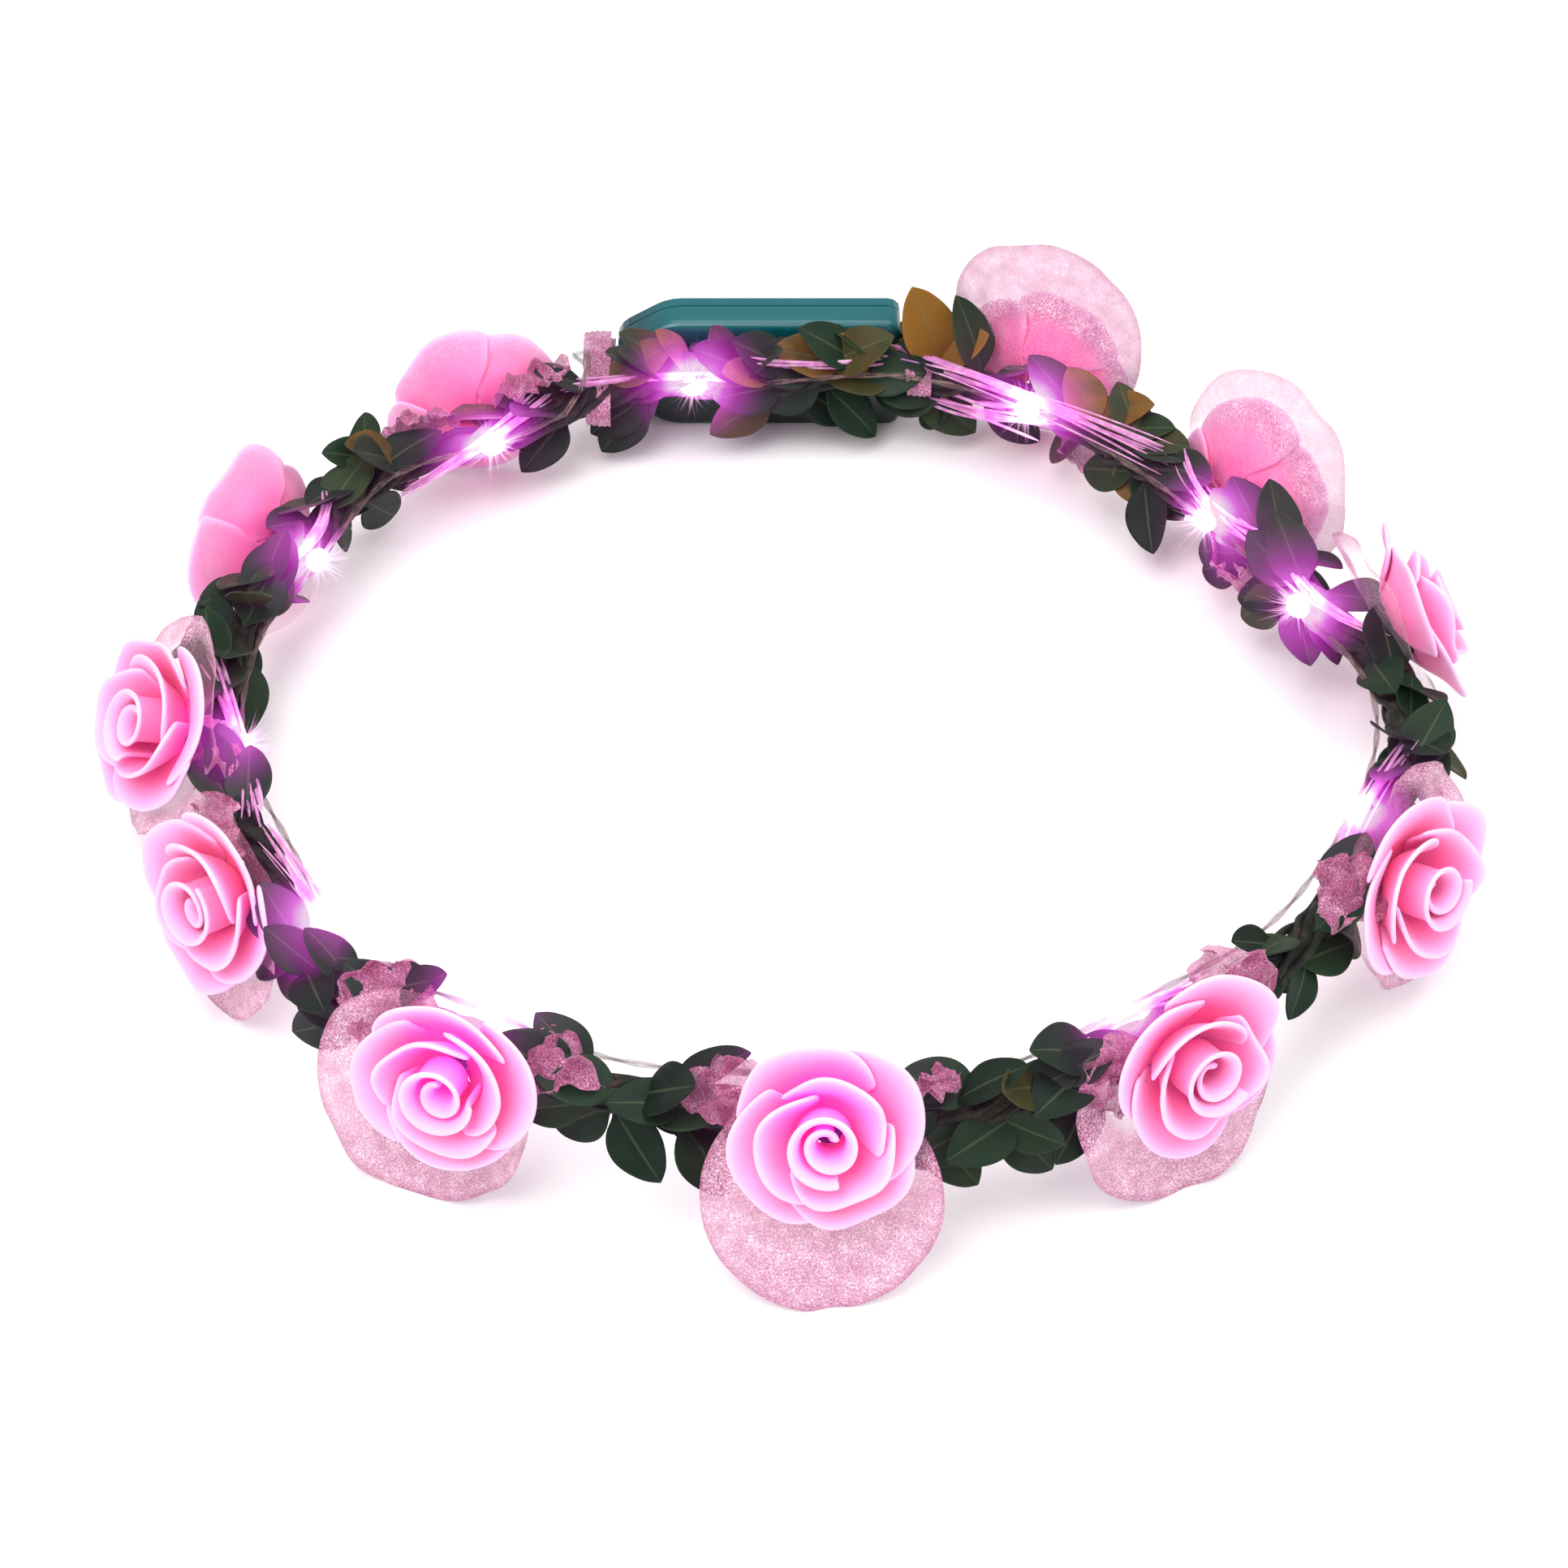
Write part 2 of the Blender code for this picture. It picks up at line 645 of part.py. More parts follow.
def box_piece(name, bm, material, smooth=False):
    return add_object(name, bm, material, smooth=smooth, matrix=box_matrix())


def cut_box(target, low, high):
    bm = bmesh.new()
    box_mesh(bm, low, high)
    combine(target, box_piece(f"{target.name}_cut", bm, "box_plastic"), "DIFFERENCE")


def cut_round(target, place, radius, low, high):
    """Drill through in Y at (x, z)."""
    bm = bmesh.new()
    x, z = place
    across = Matrix.Translation((x, (low + high) / 2, z)) @ Matrix.Rotation(math.pi / 2, 4, "X")
    bmesh.ops.create_cone(
        bm,
        cap_ends=True,
        segments=16,
        radius1=radius,
        radius2=radius,
        depth=high - low,
        matrix=across,
    )
    combine(target, box_piece(f"{target.name}_bore", bm, "box_plastic"), "DIFFERENCE")


def bay():
    """The battery bay in the box's own X and Z: left, right and half height."""
    right = BOX_LENGTH / 2 - BOX_WALL - BAY_MARGIN
    left = right - 2 * CELL_RADIUS - CELL_SPACING - 2 * GAP
    return left, right, CELL_RADIUS + GAP


def cell_centres():
    left, right, _ = bay()
    middle = (left + right) / 2
    return middle - CELL_SPACING / 2, middle + CELL_SPACING / 2


def switch_x():
    """Centre of the slide switch, between the lead's end in the neck and the screw tab."""
    return -BOX_LENGTH / 2 + LEAD_INSIDE + 2 * GAP + BOARD[0] / 2


def screw_x():
    left, _, _ = bay()
    return left - SCREW_TAB / 2


def make_front():
    """The shell towards the head: a tray with a round edge, a lead hole and a ribbon lug."""
    depth = BOX_DEPTH - COVER_DEPTH - GAP
    bm = box_outline(0.0, 0.0, depth)
    rim = [e for e in bm.edges if all(abs(v.co.y) < 1e-6 for v in e.verts)]
    bmesh.ops.bevel(
        bm,
        geom=rim,
        offset=BOX_RIM,
        affect="EDGES",
        segments=3,
        profile=0.5,
        material=-1,
    )
    shell = box_piece("case_front", bm, "box_plastic", smooth=True)
    lug = bmesh.new()
    right = BOX_LENGTH / 2
    lug_z = lug_height()
    box_mesh(
        lug,
        (right - BOX_WALL / 2, depth - LUG[1], lug_z - LUG[2] / 2),
        (right + LUG[0], depth, lug_z + LUG[2] / 2),
    )
    combine(shell, box_piece("case_front_lug", lug, "box_plastic"), "UNION")
    hollow = box_outline(BOX_WALL, BOX_WALL, BOX_DEPTH)
    combine(shell, box_piece("case_front_hollow", hollow, "box_plastic"), "DIFFERENCE")
    bore = bmesh.new()
    left = -BOX_LENGTH / 2
    along = Matrix.Translation((left, BOX_DEPTH / 2, 0)) @ Matrix.Rotation(math.pi / 2, 4, "Y")
    bmesh.ops.create_cone(
        bore,
        cap_ends=True,
        segments=16,
        radius1=LEAD_RADIUS + SLIDE,
        radius2=LEAD_RADIUS + SLIDE,
        depth=4 * BOX_WALL,
        matrix=along,
    )
    combine(shell, box_piece("case_front_bore", bore, "box_plastic"), "DIFFERENCE")


def lug_height():
    """The lug's height in the box's own frame, level with the vine behind it."""
    return vine_point(90).z - box_matrix().translation.z


def make_back():
    """The outer shell: a plate with the battery opening, its ledge, and the switch slot."""
    low = BOX_DEPTH - COVER_DEPTH
    shell = box_piece("case_back", box_outline(0.0, low, BOX_DEPTH), "box_plastic")
    left, right, tall = bay()
    cut_box(shell, (left, 0, -tall), (right, 2 * BOX_DEPTH, tall))
    seat = BOX_DEPTH - DOOR_THICKNESS - GAP
    edge = DOOR_LEDGE / 2 + GAP
    cut_box(
        shell,
        (left - SCREW_TAB - GAP, seat, -tall - edge),
        (right + GAP, 2 * BOX_DEPTH, tall + edge),
    )
    cut_round(shell, (screw_x(), 0), SCREW_RADIUS + SLIDE, 0, 2 * BOX_DEPTH)
    knob_x = KNOB[0] / 2 + SLIDE
    knob_z = (KNOB[2] + SWITCH_TRAVEL) / 2 + SLIDE
    cut_box(
        shell,
        (switch_x() - knob_x, 0, -knob_z),
        (switch_x() + knob_x, 2 * BOX_DEPTH, knob_z),
    )


def make_door():
    """The door lies flush in its recess and carries the screw's hole."""
    left, right, tall = bay()
    low = BOX_DEPTH - DOOR_THICKNESS
    edge = DOOR_LEDGE / 2
    bm = bmesh.new()
    box_mesh(bm, (left - SCREW_TAB, low, -tall - edge), (right, BOX_DEPTH, tall + edge))
    door = box_piece("battery_door", bm, "box_plastic")
    cut_round(door, (screw_x(), 0), SCREW_RADIUS + SLIDE, 0, 2 * BOX_DEPTH)


def make_screw():
    """A slotted pan-head screw along Y, its head standing on the door."""
    seat = BOX_DEPTH + GAP
    profile = [
        (SCREW_RADIUS * 0.5, seat - SCREW_LENGTH),
        (SCREW_RADIUS, seat - SCREW_LENGTH + SCREW_POINT),
        (SCREW_RADIUS, seat),
        (SCREW_HEAD_RADIUS, seat),
        (SCREW_HEAD_RADIUS, seat + SCREW_HEAD_HEIGHT * 0.6),
        (SCREW_HEAD_RADIUS * 0.6, seat + SCREW_HEAD_HEIGHT),
    ]
    along = Matrix.Translation((screw_x(), 0, 0)) @ Matrix.Rotation(-math.pi / 2, 4, "X")
    screw = turned("door_screw", profile, 16, box_matrix() @ along, "cell_steel")
    top = seat + SCREW_HEAD_HEIGHT
    reach = SCREW_HEAD_RADIUS * 2
    slot = SCREW_HEAD_RADIUS * 0.15
    low = top - SCREW_HEAD_HEIGHT / 2
    bm = bmesh.new()
    box_mesh(bm, (screw_x() - reach, low, -slot), (screw_x() + reach, top + MM, slot))
    combine(screw, box_piece("door_screw_slot", bm, "cell_steel"), "DIFFERENCE")


def make_cells():
    """The contact strip on the tray's floor, then the two cells lying on it."""
    strip = BOX_WALL + GAP
    seat = strip + STRIP_THICKNESS + GAP
    first, second = cell_centres()
    bm = bmesh.new()
    reach = CELL_RADIUS * 0.6
    box_mesh(
        bm,
        (first - reach, strip, -STRIP_HEIGHT / 2),
        (second + reach, strip + STRIP_THICKNESS, STRIP_HEIGHT / 2),
    )
    box_piece("contact_bridge", bm, "contact_metal")
    profile = [
        (CELL_RADIUS - 1.4 * MM, 0.0),
        (CELL_RADIUS - 1.0 * MM, 0.3 * MM),
        (CELL_RADIUS, 0.5 * MM),
        (CELL_RADIUS, CELL_THICKNESS - 0.2 * MM),
        (CELL_RADIUS - 0.2 * MM, CELL_THICKNESS),
    ]
    for number, x in enumerate((first, second), 1):
        along = Matrix.Translation((x, seat, 0)) @ Matrix.Rotation(-math.pi / 2, 4, "X")
        turned(f"coin_cell_{number}", profile, 28, box_matrix() @ along, "cell_steel")


def make_switch():
    """The board with the switch's open channel on it, and the slider that runs in the channel."""
    x = switch_x()
    low = BOX_WALL + GAP
    top = low + BOARD[1]
    roof = BOX_DEPTH - COVER_DEPTH - GAP
    bm = bmesh.new()
    box_mesh(bm, (x - BOARD[0] / 2, low, -BOARD[2] / 2), (x + BOARD[0] / 2, top, BOARD[2] / 2))
    board = box_piece("circuit_board", bm, "board_laminate")
    wide = SLIDER_BASE[0] / 2 + GAP
    tall = (SLIDER_BASE[2] + SWITCH_TRAVEL) / 2 + GAP
    wall = HOUSING_WALL
    bm = bmesh.new()
    box_mesh(
        bm,
        (x - wide - wall, top - 0.4 * MM, -tall - wall),
        (x + wide + wall, roof, tall + wall),
    )
    combine(board, box_piece("circuit_board_housing", bm, "board_laminate"), "UNION")
    floor = roof - SLIDER_BASE[1] - 2 * GAP
    cut_box(board, (x - wide, floor, -tall), (x + wide, BOX_DEPTH, tall))
    base_low = floor + GAP
    off = -SWITCH_TRAVEL / 2
    bm = bmesh.new()
    box_mesh(
        bm,
        (x - SLIDER_BASE[0] / 2, base_low, off - SLIDER_BASE[2] / 2),
        (x + SLIDER_BASE[0] / 2, base_low + SLIDER_BASE[1], off + SLIDER_BASE[2] / 2),
    )
    slider = box_piece("switch_slider", bm, "switch_plastic")
    bm = bmesh.new()
    box_mesh(
        bm,
        (x - KNOB[0] / 2, base_low + SLIDER_BASE[1] / 2, off - KNOB[2] / 2),
        (x + KNOB[0] / 2, BOX_DEPTH + KNOB_PROUD, off + KNOB[2] / 2),
    )
    combine(slider, box_piece("switch_slider_knob", bm, "switch_plastic"), "UNION")


def make_relief():
    """A tapered sleeve on the box's neck, with the lead through it."""
    left = -BOX_LENGTH / 2
    bore = LEAD_RADIUS + SLIDE
    profile = [
        (bore, GAP),
        (RELIEF_RADII[0], GAP),
        (RELIEF_RADII[1], 0.35 * RELIEF_LENGTH),
        (RELIEF_RADII[2], RELIEF_LENGTH),
        (bore, RELIEF_LENGTH),
    ]
    along = Matrix.Translation((left, BOX_DEPTH / 2, 0)) @ Matrix.Rotation(-math.pi / 2, 4, "Y")
    turned("strain_relief", profile, 14, box_matrix() @ along, "box_plastic", closed=True)


def make_ribbon(name, x, inner_low, inner_high, squeeze):
    """An oval band in the Y-Z plane round everything between two points, and wide enough for the
    vine's slant through it."""
    squeeze += abs(vine_at_x(x + RIBBON_WIDTH / 2).y - vine_at_x(x).y) / 2
    middle = (inner_low + inner_high) / 2
    reach = (inner_high - inner_low).length / 2 + squeeze
    direction = (inner_high - inner_low).normalized()
    tall = squeeze * 1.1
    bm = bmesh.new()
    rings = []
    for grow, side in ((0, -1), (1, -1), (1, 1), (0, 1)):
        more = grow * RIBBON_THICKNESS
        size = Matrix.Diagonal((reach + more, tall + more, 1, 1))
        lift = Vector((0, 0, side * RIBBON_WIDTH / 2))
        rings.append((Matrix.Translation(lift) @ size, 1.0))
    loft(bm, rings, 20, closed=True)
    z_axis = Vector((1, 0, 0))
    y_axis = z_axis.cross(direction)
    frame = Matrix((direction, y_axis, z_axis)).transposed().to_4x4()
    middle.x = x
    add_object(name, bm, "ribbon_organza", matrix=Matrix.Translation(middle) @ frame)


def vine_at_x(x):
    """The vine's place on the back half at this x."""
    low, high = 45.0, 135.0
    for _ in range(40):
        middle = (low + high) / 2
        if vine_point(middle).x > x:
            low = middle
        else:
            high = middle
    return vine_point(low)


def make_ribbons():
    """Bindings that tie the box's two ends to the vine."""
    squeeze = wrap_inner() + WRAP_WALL + RIBBON_EASE
    box = box_matrix()
    right = BOX_LENGTH / 2 + LUG[0] / 2
    depth = BOX_DEPTH - COVER_DEPTH - GAP
    lug = box @ Vector((right, depth - LUG[1] / 2, lug_height()))
    make_ribbon("ribbon_wrap_right", lug.x, vine_at_x(lug.x), lug, squeeze)
    left = -BOX_LENGTH / 2 - RELIEF_LENGTH / 2
    sleeve = box @ Vector((left, BOX_DEPTH / 2, 0))
    make_ribbon("ribbon_wrap_left", sleeve.x, vine_at_x(sleeve.x), sleeve, squeeze)


clear_scene()
make_vine()
make_sprigs()
make_roses()
make_lead()
make_beads()
make_front()
make_back()
make_door()
make_screw()
make_cells()
make_switch()
make_relief()
make_ribbons()
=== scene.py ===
import math
import random

import bmesh
import bpy
import numpy
from mathutils import Matrix, Vector, noise


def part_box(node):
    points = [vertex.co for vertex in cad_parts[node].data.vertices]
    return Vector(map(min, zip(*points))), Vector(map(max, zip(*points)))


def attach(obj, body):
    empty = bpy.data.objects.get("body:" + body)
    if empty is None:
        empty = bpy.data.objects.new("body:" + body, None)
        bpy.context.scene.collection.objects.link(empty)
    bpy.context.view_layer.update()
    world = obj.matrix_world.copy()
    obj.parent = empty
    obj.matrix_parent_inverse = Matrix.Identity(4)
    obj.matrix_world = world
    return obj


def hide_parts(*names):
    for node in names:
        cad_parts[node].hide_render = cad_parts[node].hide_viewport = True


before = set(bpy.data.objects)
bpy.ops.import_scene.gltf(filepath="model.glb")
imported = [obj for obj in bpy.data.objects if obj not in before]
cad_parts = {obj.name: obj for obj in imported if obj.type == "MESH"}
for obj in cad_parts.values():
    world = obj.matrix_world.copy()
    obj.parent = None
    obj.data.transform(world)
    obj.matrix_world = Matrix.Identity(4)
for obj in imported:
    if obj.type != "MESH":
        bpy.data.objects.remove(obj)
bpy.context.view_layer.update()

mm = 0.001

view = {"elevation": 42, "distance": 0.950, "aim": (-0.002, -0.020, 0.0), "focal": 121.8}


def placeCamera():
    rise = math.radians(view["elevation"])
    ahead = Vector((0, math.cos(rise), -math.sin(rise)))
    lens = bpy.data.cameras.new("camera")
    lens.sensor_width = 36
    lens.lens = view["focal"]
    camera = bpy.data.objects.new("camera", lens)
    camera.location = Vector(view["aim"]) - ahead * view["distance"]
    camera.rotation_euler = ahead.to_track_quat("-Z", "Y").to_euler()
    bpy.context.scene.collection.objects.link(camera)
    bpy.context.scene.camera = camera


placeCamera()
print("camera placed")

# the ring that everything sits on, in millimetres and degrees, as the solids have it
vine = {
    "radius": 106,
    "tilt": 5,  # the front rides higher than the middle, the back lower
    "drop": 22,  # from the middle down to the table
    "wire": 2.0,
    "bends": [
        (0, 4),
        (18, -4),
        (34, -6),
        (48, -4),
        (62, 0),
        (78, 3),
        (94, -1),
        (110, 1),
        (124, -3),
        (138, 2),
        (153, -2),
        (170, -1),
        (188, -1),
        (206, -3),
        (222, 3),
        (238, -1),
        (252, 1),
        (272, 0),
        (287, 4),
        (305, 0),
        (322, 2),
        (336, 2),
    ],
}


def bendAt(angle):
    angle = angle % 360
    bends = vine["bends"]
    count = len(bends)
    index = max(i for i in range(count) if bends[i][0] <= angle)
    around = [bends[(index + step) % count] for step in (-1, 0, 1, 2)]
    turns = [360 * ((index + step) // count) for step in (-1, 0, 1, 2)]
    a = [place[0] + turn for place, turn in zip(around, turns)]
    b = [place[1] for place in around]
    span = a[2] - a[1]
    t = (angle - a[1]) / span
    slopeIn = (b[2] - b[0]) / (a[2] - a[0]) * span
    slopeOut = (b[3] - b[1]) / (a[3] - a[1]) * span
    start = (2 * t**3 - 3 * t**2 + 1) * b[1] + (t**3 - 2 * t**2 + t) * slopeIn
    return start + (3 * t**2 - 2 * t**3) * b[2] + (t**3 - t**2) * slopeOut


def vinePoint(angle):
    radius = vine["radius"] + bendAt(angle)
    turn = math.radians(angle)
    height = -vine["tilt"] * math.sin(turn)
    return Vector((radius * math.cos(turn), radius * math.sin(turn), height)) * mm


def vineFrame(angle):
    forward = (vinePoint(angle + 0.5) - vinePoint(angle - 0.5)).normalized()
    outward = forward.cross(Vector((0, 0, 1))).normalized()
    return vinePoint(angle), forward, outward, outward.cross(forward)


def besideVine(angle, clock, distance):
    place, _, outward, upward = vineFrame(angle)
    turn = math.radians(clock)
    return place + distance * mm * (outward * math.cos(turn) + upward * math.sin(turn))


def facing(place, direction):
    z = Vector(direction).normalized()
    x = Vector((0, 0, 1)).cross(z).normalized()
    turned = Matrix((x, z.cross(x), z)).transposed().to_4x4()
    return Matrix.Translation(place) @ turned


# where the LEDs sit, and how far their light colours what is near them
glow = {"reach": 7.5, "halo": 15, "haloShare": 0.32, "heart": 8.0, "heartShare": 0.75}
ledNames = sorted(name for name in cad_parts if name.startswith("led_bead_"))
ledPlaces = []
for ledName in ledNames:
    low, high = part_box(ledName)
    ledPlaces.append((Vector(low) + Vector(high)) / 2)
lamps = [(place, glow["reach"], 1.0) for place in ledPlaces]
lamps += [(place, glow["halo"], glow["haloShare"]) for place in ledPlaces]
for hearted in ("rose_01", "rose_02"):  # these two have an LED right behind the bud
    low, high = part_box(hearted)
    bud = (Vector(low) + Vector(high)) / 2 + Vector((0, -3, 5)) * mm
    lamps.append((bud, glow["heart"], glow["heartShare"]))


def paintGlow(mesh):
    count = len(mesh.vertices)
    flat = numpy.empty(count * 3)
    mesh.vertices.foreach_get("co", flat)
    points = flat.reshape(count, 3)
    total = numpy.zeros(count)
    for place, reach, power in lamps:
        away = numpy.linalg.norm(points - numpy.array(place), axis=1) / (reach * mm)
        total += power * numpy.exp(-(away**2))
    layer = mesh.attributes.new("glow", "FLOAT", "POINT")
    layer.data.foreach_set("value", total.astype(numpy.float32))


def paint(code):  # sRGB hex to linear
    shares = [int(code[i : i + 2], 16) / 255 for i in (1, 3, 5)]
    linear = [s / 12.92 if s <= 0.04045 else ((s + 0.055) / 1.055) ** 2.4 for s in shares]
    return (*linear, 1.0)


def addNode(material, kind, settings=None, links=None):
    node = material.node_tree.nodes.new(kind)
    for name, value in (settings or {}).items():
        if name == "stops":
            while len(node.color_ramp.elements) < len(value):
                node.color_ramp.elements.new(0.5)
            for element, (place, colour) in zip(node.color_ramp.elements, value):
                element.position = place
                element.color = paint(colour)
        elif isinstance(name, int) or name in node.inputs:
            node.inputs[name].default_value = value
        else:
            setattr(node, name, value)
    for name, source in (links or {}).items():
        material.node_tree.links.new(source, node.inputs[name])
    return node


def addNoise(material, place, size, settings):  # size of the grain in millimetres
    scale = {"Scale": 1 / (size * mm), **settings}
    return addNode(material, "ShaderNodeTexNoise", scale, {"Vector": place.outputs["Object"]})


def addRamp(material, stops, source):
    return addNode(material, "ShaderNodeValToRGB", {"stops": stops}, {"Fac": source})


def startMaterial(name, settings):
    material = bpy.data.materials.new(name)
    material.use_nodes = True
    shader = material.node_tree.nodes["Principled BSDF"]
    for socket, value in settings.items():
        shader.inputs[socket].default_value = value
    return material, shader


def link(material, source, shader, socket):
    material.node_tree.links.new(source, shader.inputs[socket])


def addGlow(material, shader, strength):  # LED light soaking into what is near it
    near = addNode(material, "ShaderNodeAttribute", {"attribute_name": "glow"})
    stops = [(0.0, "#000000"), (0.14, "#3A0C36"), (0.45, "#B428AC"), (0.75, "#F064F0")]
    stops.append((1.0, "#FFD8FF"))
    tint = addRamp(material, stops, near.outputs["Fac"])
    link(material, tint.outputs["Color"], shader, "Emission Color")
    shader.inputs["Emission Strength"].default_value = strength


def roseFoam():  # heat-formed polyethylene foam: soft satin, light soaks in, pale cut edges, with painted shade deep in the petal folds and painted glow on the rims and the bud
    material, shader = startMaterial(
        "roseFoam",
        {
            "Roughness": 0.5,
            "IOR": 1.45,
            "Specular IOR Level": 0.3,
            "Subsurface Weight": 0.25,
            "Subsurface Radius": (1.0, 0.35, 0.6),
            "Subsurface Scale": 2.0 * mm,
            "Sheen Weight": 0.15,
        },
    )
    # painted shade and glow: low values give deep pink low in the petal folds, where shade falls;
    # high values give pale rims and a pale bud, partly the foam's own paler cut edges and partly
    # painted LED glow
    bloom = addNode(material, "ShaderNodeAttribute", {"attribute_name": "bloom"})
    place = addNode(material, "ShaderNodeTexCoord")
    cloud = addNoise(material, place, 9, {"Detail": 2.0})
    sway = addNode(
        material,
        "ShaderNodeMath",
        {"operation": "MULTIPLY_ADD", 1: 0.16, 2: -0.08},
        {0: cloud.outputs["Fac"]},
    )
    mixed = addNode(
        material,
        "ShaderNodeMath",
        {"operation": "ADD"},
        {0: bloom.outputs["Fac"], 1: sway.outputs["Value"]},
    )
    stops = [(0.0, "#F04A8C"), (0.3, "#FF74B0"), (0.62, "#FF98CC"), (1.0, "#FFC4EE")]
    tint = addRamp(material, stops, mixed.outputs["Value"])
    link(material, tint.outputs["Color"], shader, "Base Color")
    # closed foam cells are near 0.1 mm; drawn at 0.35 mm to show at all
    cells = addNoise(material, place, 0.35, {"Detail": 1.0})
    bump = addNode(
        material,
        "ShaderNodeBump",
        {"Strength": 0.08, "Distance": 0.1 * mm},
        {"Height": cells.outputs["Fac"]},
    )
    link(material, bump.outputs["Normal"], shader, "Normal")
    addGlow(material, shader, 0.75)
    return material


def glitterOrganza():  # sheer crisp nylon with glitter: grainy, see-through, denser at the rim
    material, shader = startMaterial(
        "glitterOrganza",
        {"Roughness": 0.55, "IOR": 1.5, "Specular IOR Level": 0.4, "Sheen Weight": 0.3},
    )
    place = addNode(material, "ShaderNodeTexCoord")
    # threads lie 0.15 mm apart; drawn at 0.32 mm so that the grain shows
    grain = addNoise(material, place, 0.32, {"Detail": 2.0, "Roughness": 0.7})
    patch = addNoise(material, place, 3, {"Detail": 2.0})
    deep = addNode(material, "ShaderNodeAttribute", {"attribute_name": "deep"})
    mottle = addNode(
        material,
        "ShaderNodeMath",
        {"operation": "MULTIPLY_ADD", 1: 0.3},
        {0: patch.outputs["Fac"], 2: grain.outputs["Fac"]},
    )
    mixed = addNode(
        material,
        "ShaderNodeMath",
        {"operation": "SUBTRACT"},
        {0: mottle.outputs["Value"], 1: deep.outputs["Fac"]},
    )
    stops = [(0.2, "#8C2858"), (0.5, "#A85C84"), (0.62, "#CC8CAC"), (0.74, "#E4B4CC")]
    stops.append((0.84, "#FFF0F8"))
    tint = addRamp(material, stops, mixed.outputs["Value"])
    link(material, tint.outputs["Color"], shader, "Base Color")
    sheer = addNode(material, "ShaderNodeAttribute", {"attribute_name": "sheer"})
    thick = addNode(
        material,
        "ShaderNodeMapRange",
        {"From Min": 0.38, "From Max": 0.58, "To Min": 0.62, "To Max": 0.95},
        {"Value": grain.outputs["Fac"]},
    )
    alpha = addNode(
        material,
        "ShaderNodeMath",
        {"operation": "MULTIPLY", "use_clamp": True},
        {0: thick.outputs["Result"], 1: sheer.outputs["Fac"]},
    )
    link(material, alpha.outputs["Value"], shader, "Alpha")
    addGlow(material, shader, 0.6)
    return material


def leafCloth():  # stamped, starched polyester leaf: dark dye, soft sheen, one pressed midrib
    material, shader = startMaterial(
        "leafCloth",
        {"Roughness": 0.5, "IOR": 1.46, "Specular IOR Level": 0.2},
    )
    tone = addNode(material, "ShaderNodeAttribute", {"attribute_name": "tone"})
    across = addNode(material, "ShaderNodeAttribute", {"attribute_name": "across"})
    place = addNode(material, "ShaderNodeTexCoord")
    blotch = addNoise(material, place, 5, {"Detail": 3.0})
    mixed = addNode(
        material,
        "ShaderNodeMath",
        {"operation": "MULTIPLY_ADD", 1: 0.35},
        {0: blotch.outputs["Fac"], 2: tone.outputs["Fac"]},
    )
    stops = [
        (0.12, "#08180F"),
        (0.35, "#12291A"),
        (0.6, "#26361C"),
        (0.8, "#46381C"),
        (1.0, "#7A5218"),
    ]
    tint = addRamp(material, stops, mixed.outputs["Value"])
    sideways = addNode(
        material, "ShaderNodeMath", {"operation": "ABSOLUTE"}, {0: across.outputs["Fac"]}
    )
    rib = addNode(
        material,
        "ShaderNodeMapRange",
        {"From Min": 0.0, "From Max": 0.08, "To Min": 0.4, "To Max": 0.0},
        {"Value": sideways.outputs["Value"]},
    )
    pale = addNode(
        material,
        "ShaderNodeMix",
        {"data_type": "RGBA", 7: paint("#5C6448")},
        {0: rib.outputs["Result"], 6: tint.outputs["Color"]},
    )
    link(material, pale.outputs[2], shader, "Base Color")
    # satin threads lie 0.12 mm apart; drawn at 0.3 mm so that they show
    weave = addNoise(material, place, 0.3, {"Detail": 1.0})
    relief = addNode(
        material,
        "ShaderNodeMath",
        {"operation": "MULTIPLY_ADD", 1: 0.15},
        {0: weave.outputs["Fac"], 2: rib.outputs["Result"]},
    )
    bump = addNode(
        material,
        "ShaderNodeBump",
        {"Strength": 0.4, "Distance": 0.3 * mm, "invert": True},
        {"Height": relief.outputs["Value"]},
    )
    link(material, bump.outputs["Normal"], shader, "Normal")
    addGlow(material, shader, 0.8)
    return material


def vineTape():  # stretched waxed crepe tape: dark, matt, with fine creases round the stem
    material, shader = startMaterial(
        "vineTape", {"Roughness": 0.7, "IOR": 1.45, "Specular IOR Level": 0.3}
    )
    place = addNode(material, "ShaderNodeTexCoord")
    blotch = addNoise(material, place, 3, {"Detail": 4.0, "Roughness": 0.65})
    stops = [(0.3, "#0A120C"), (0.5, "#1C2018"), (0.66, "#362C20"), (0.82, "#5C4440")]
    tint = addRamp(material, stops, blotch.outputs["Fac"])
    link(material, tint.outputs["Color"], shader, "Base Color")
    crepe = addNoise(material, place, 0.5, {"Detail": 2.0})
    bump = addNode(
        material,
        "ShaderNodeBump",
        {"Strength": 0.9, "Distance": 0.4 * mm},
        {"Height": crepe.outputs["Fac"]},
    )
    link(material, bump.outputs["Normal"], shader, "Normal")
    addGlow(material, shader, 0.8)
    return material


def clearLead():  # clear PVC over hair-fine copper: glassy, and dark where the vine shows
    material, shader = startMaterial(
        "clearLead",
        {"Roughness": 0.15, "IOR": 1.53, "Specular IOR Level": 0.6, "Alpha": 0.4},
    )
    place = addNode(material, "ShaderNodeTexCoord")
    streak = addNoise(material, place, 2.5, {"Detail": 3.0})
    stops = [(0.35, "#3C2A26"), (0.65, "#8C6C66")]
    tint = addRamp(material, stops, streak.outputs["Fac"])
    link(material, tint.outputs["Color"], shader, "Base Color")
    addGlow(material, shader, 0.6)
    return material


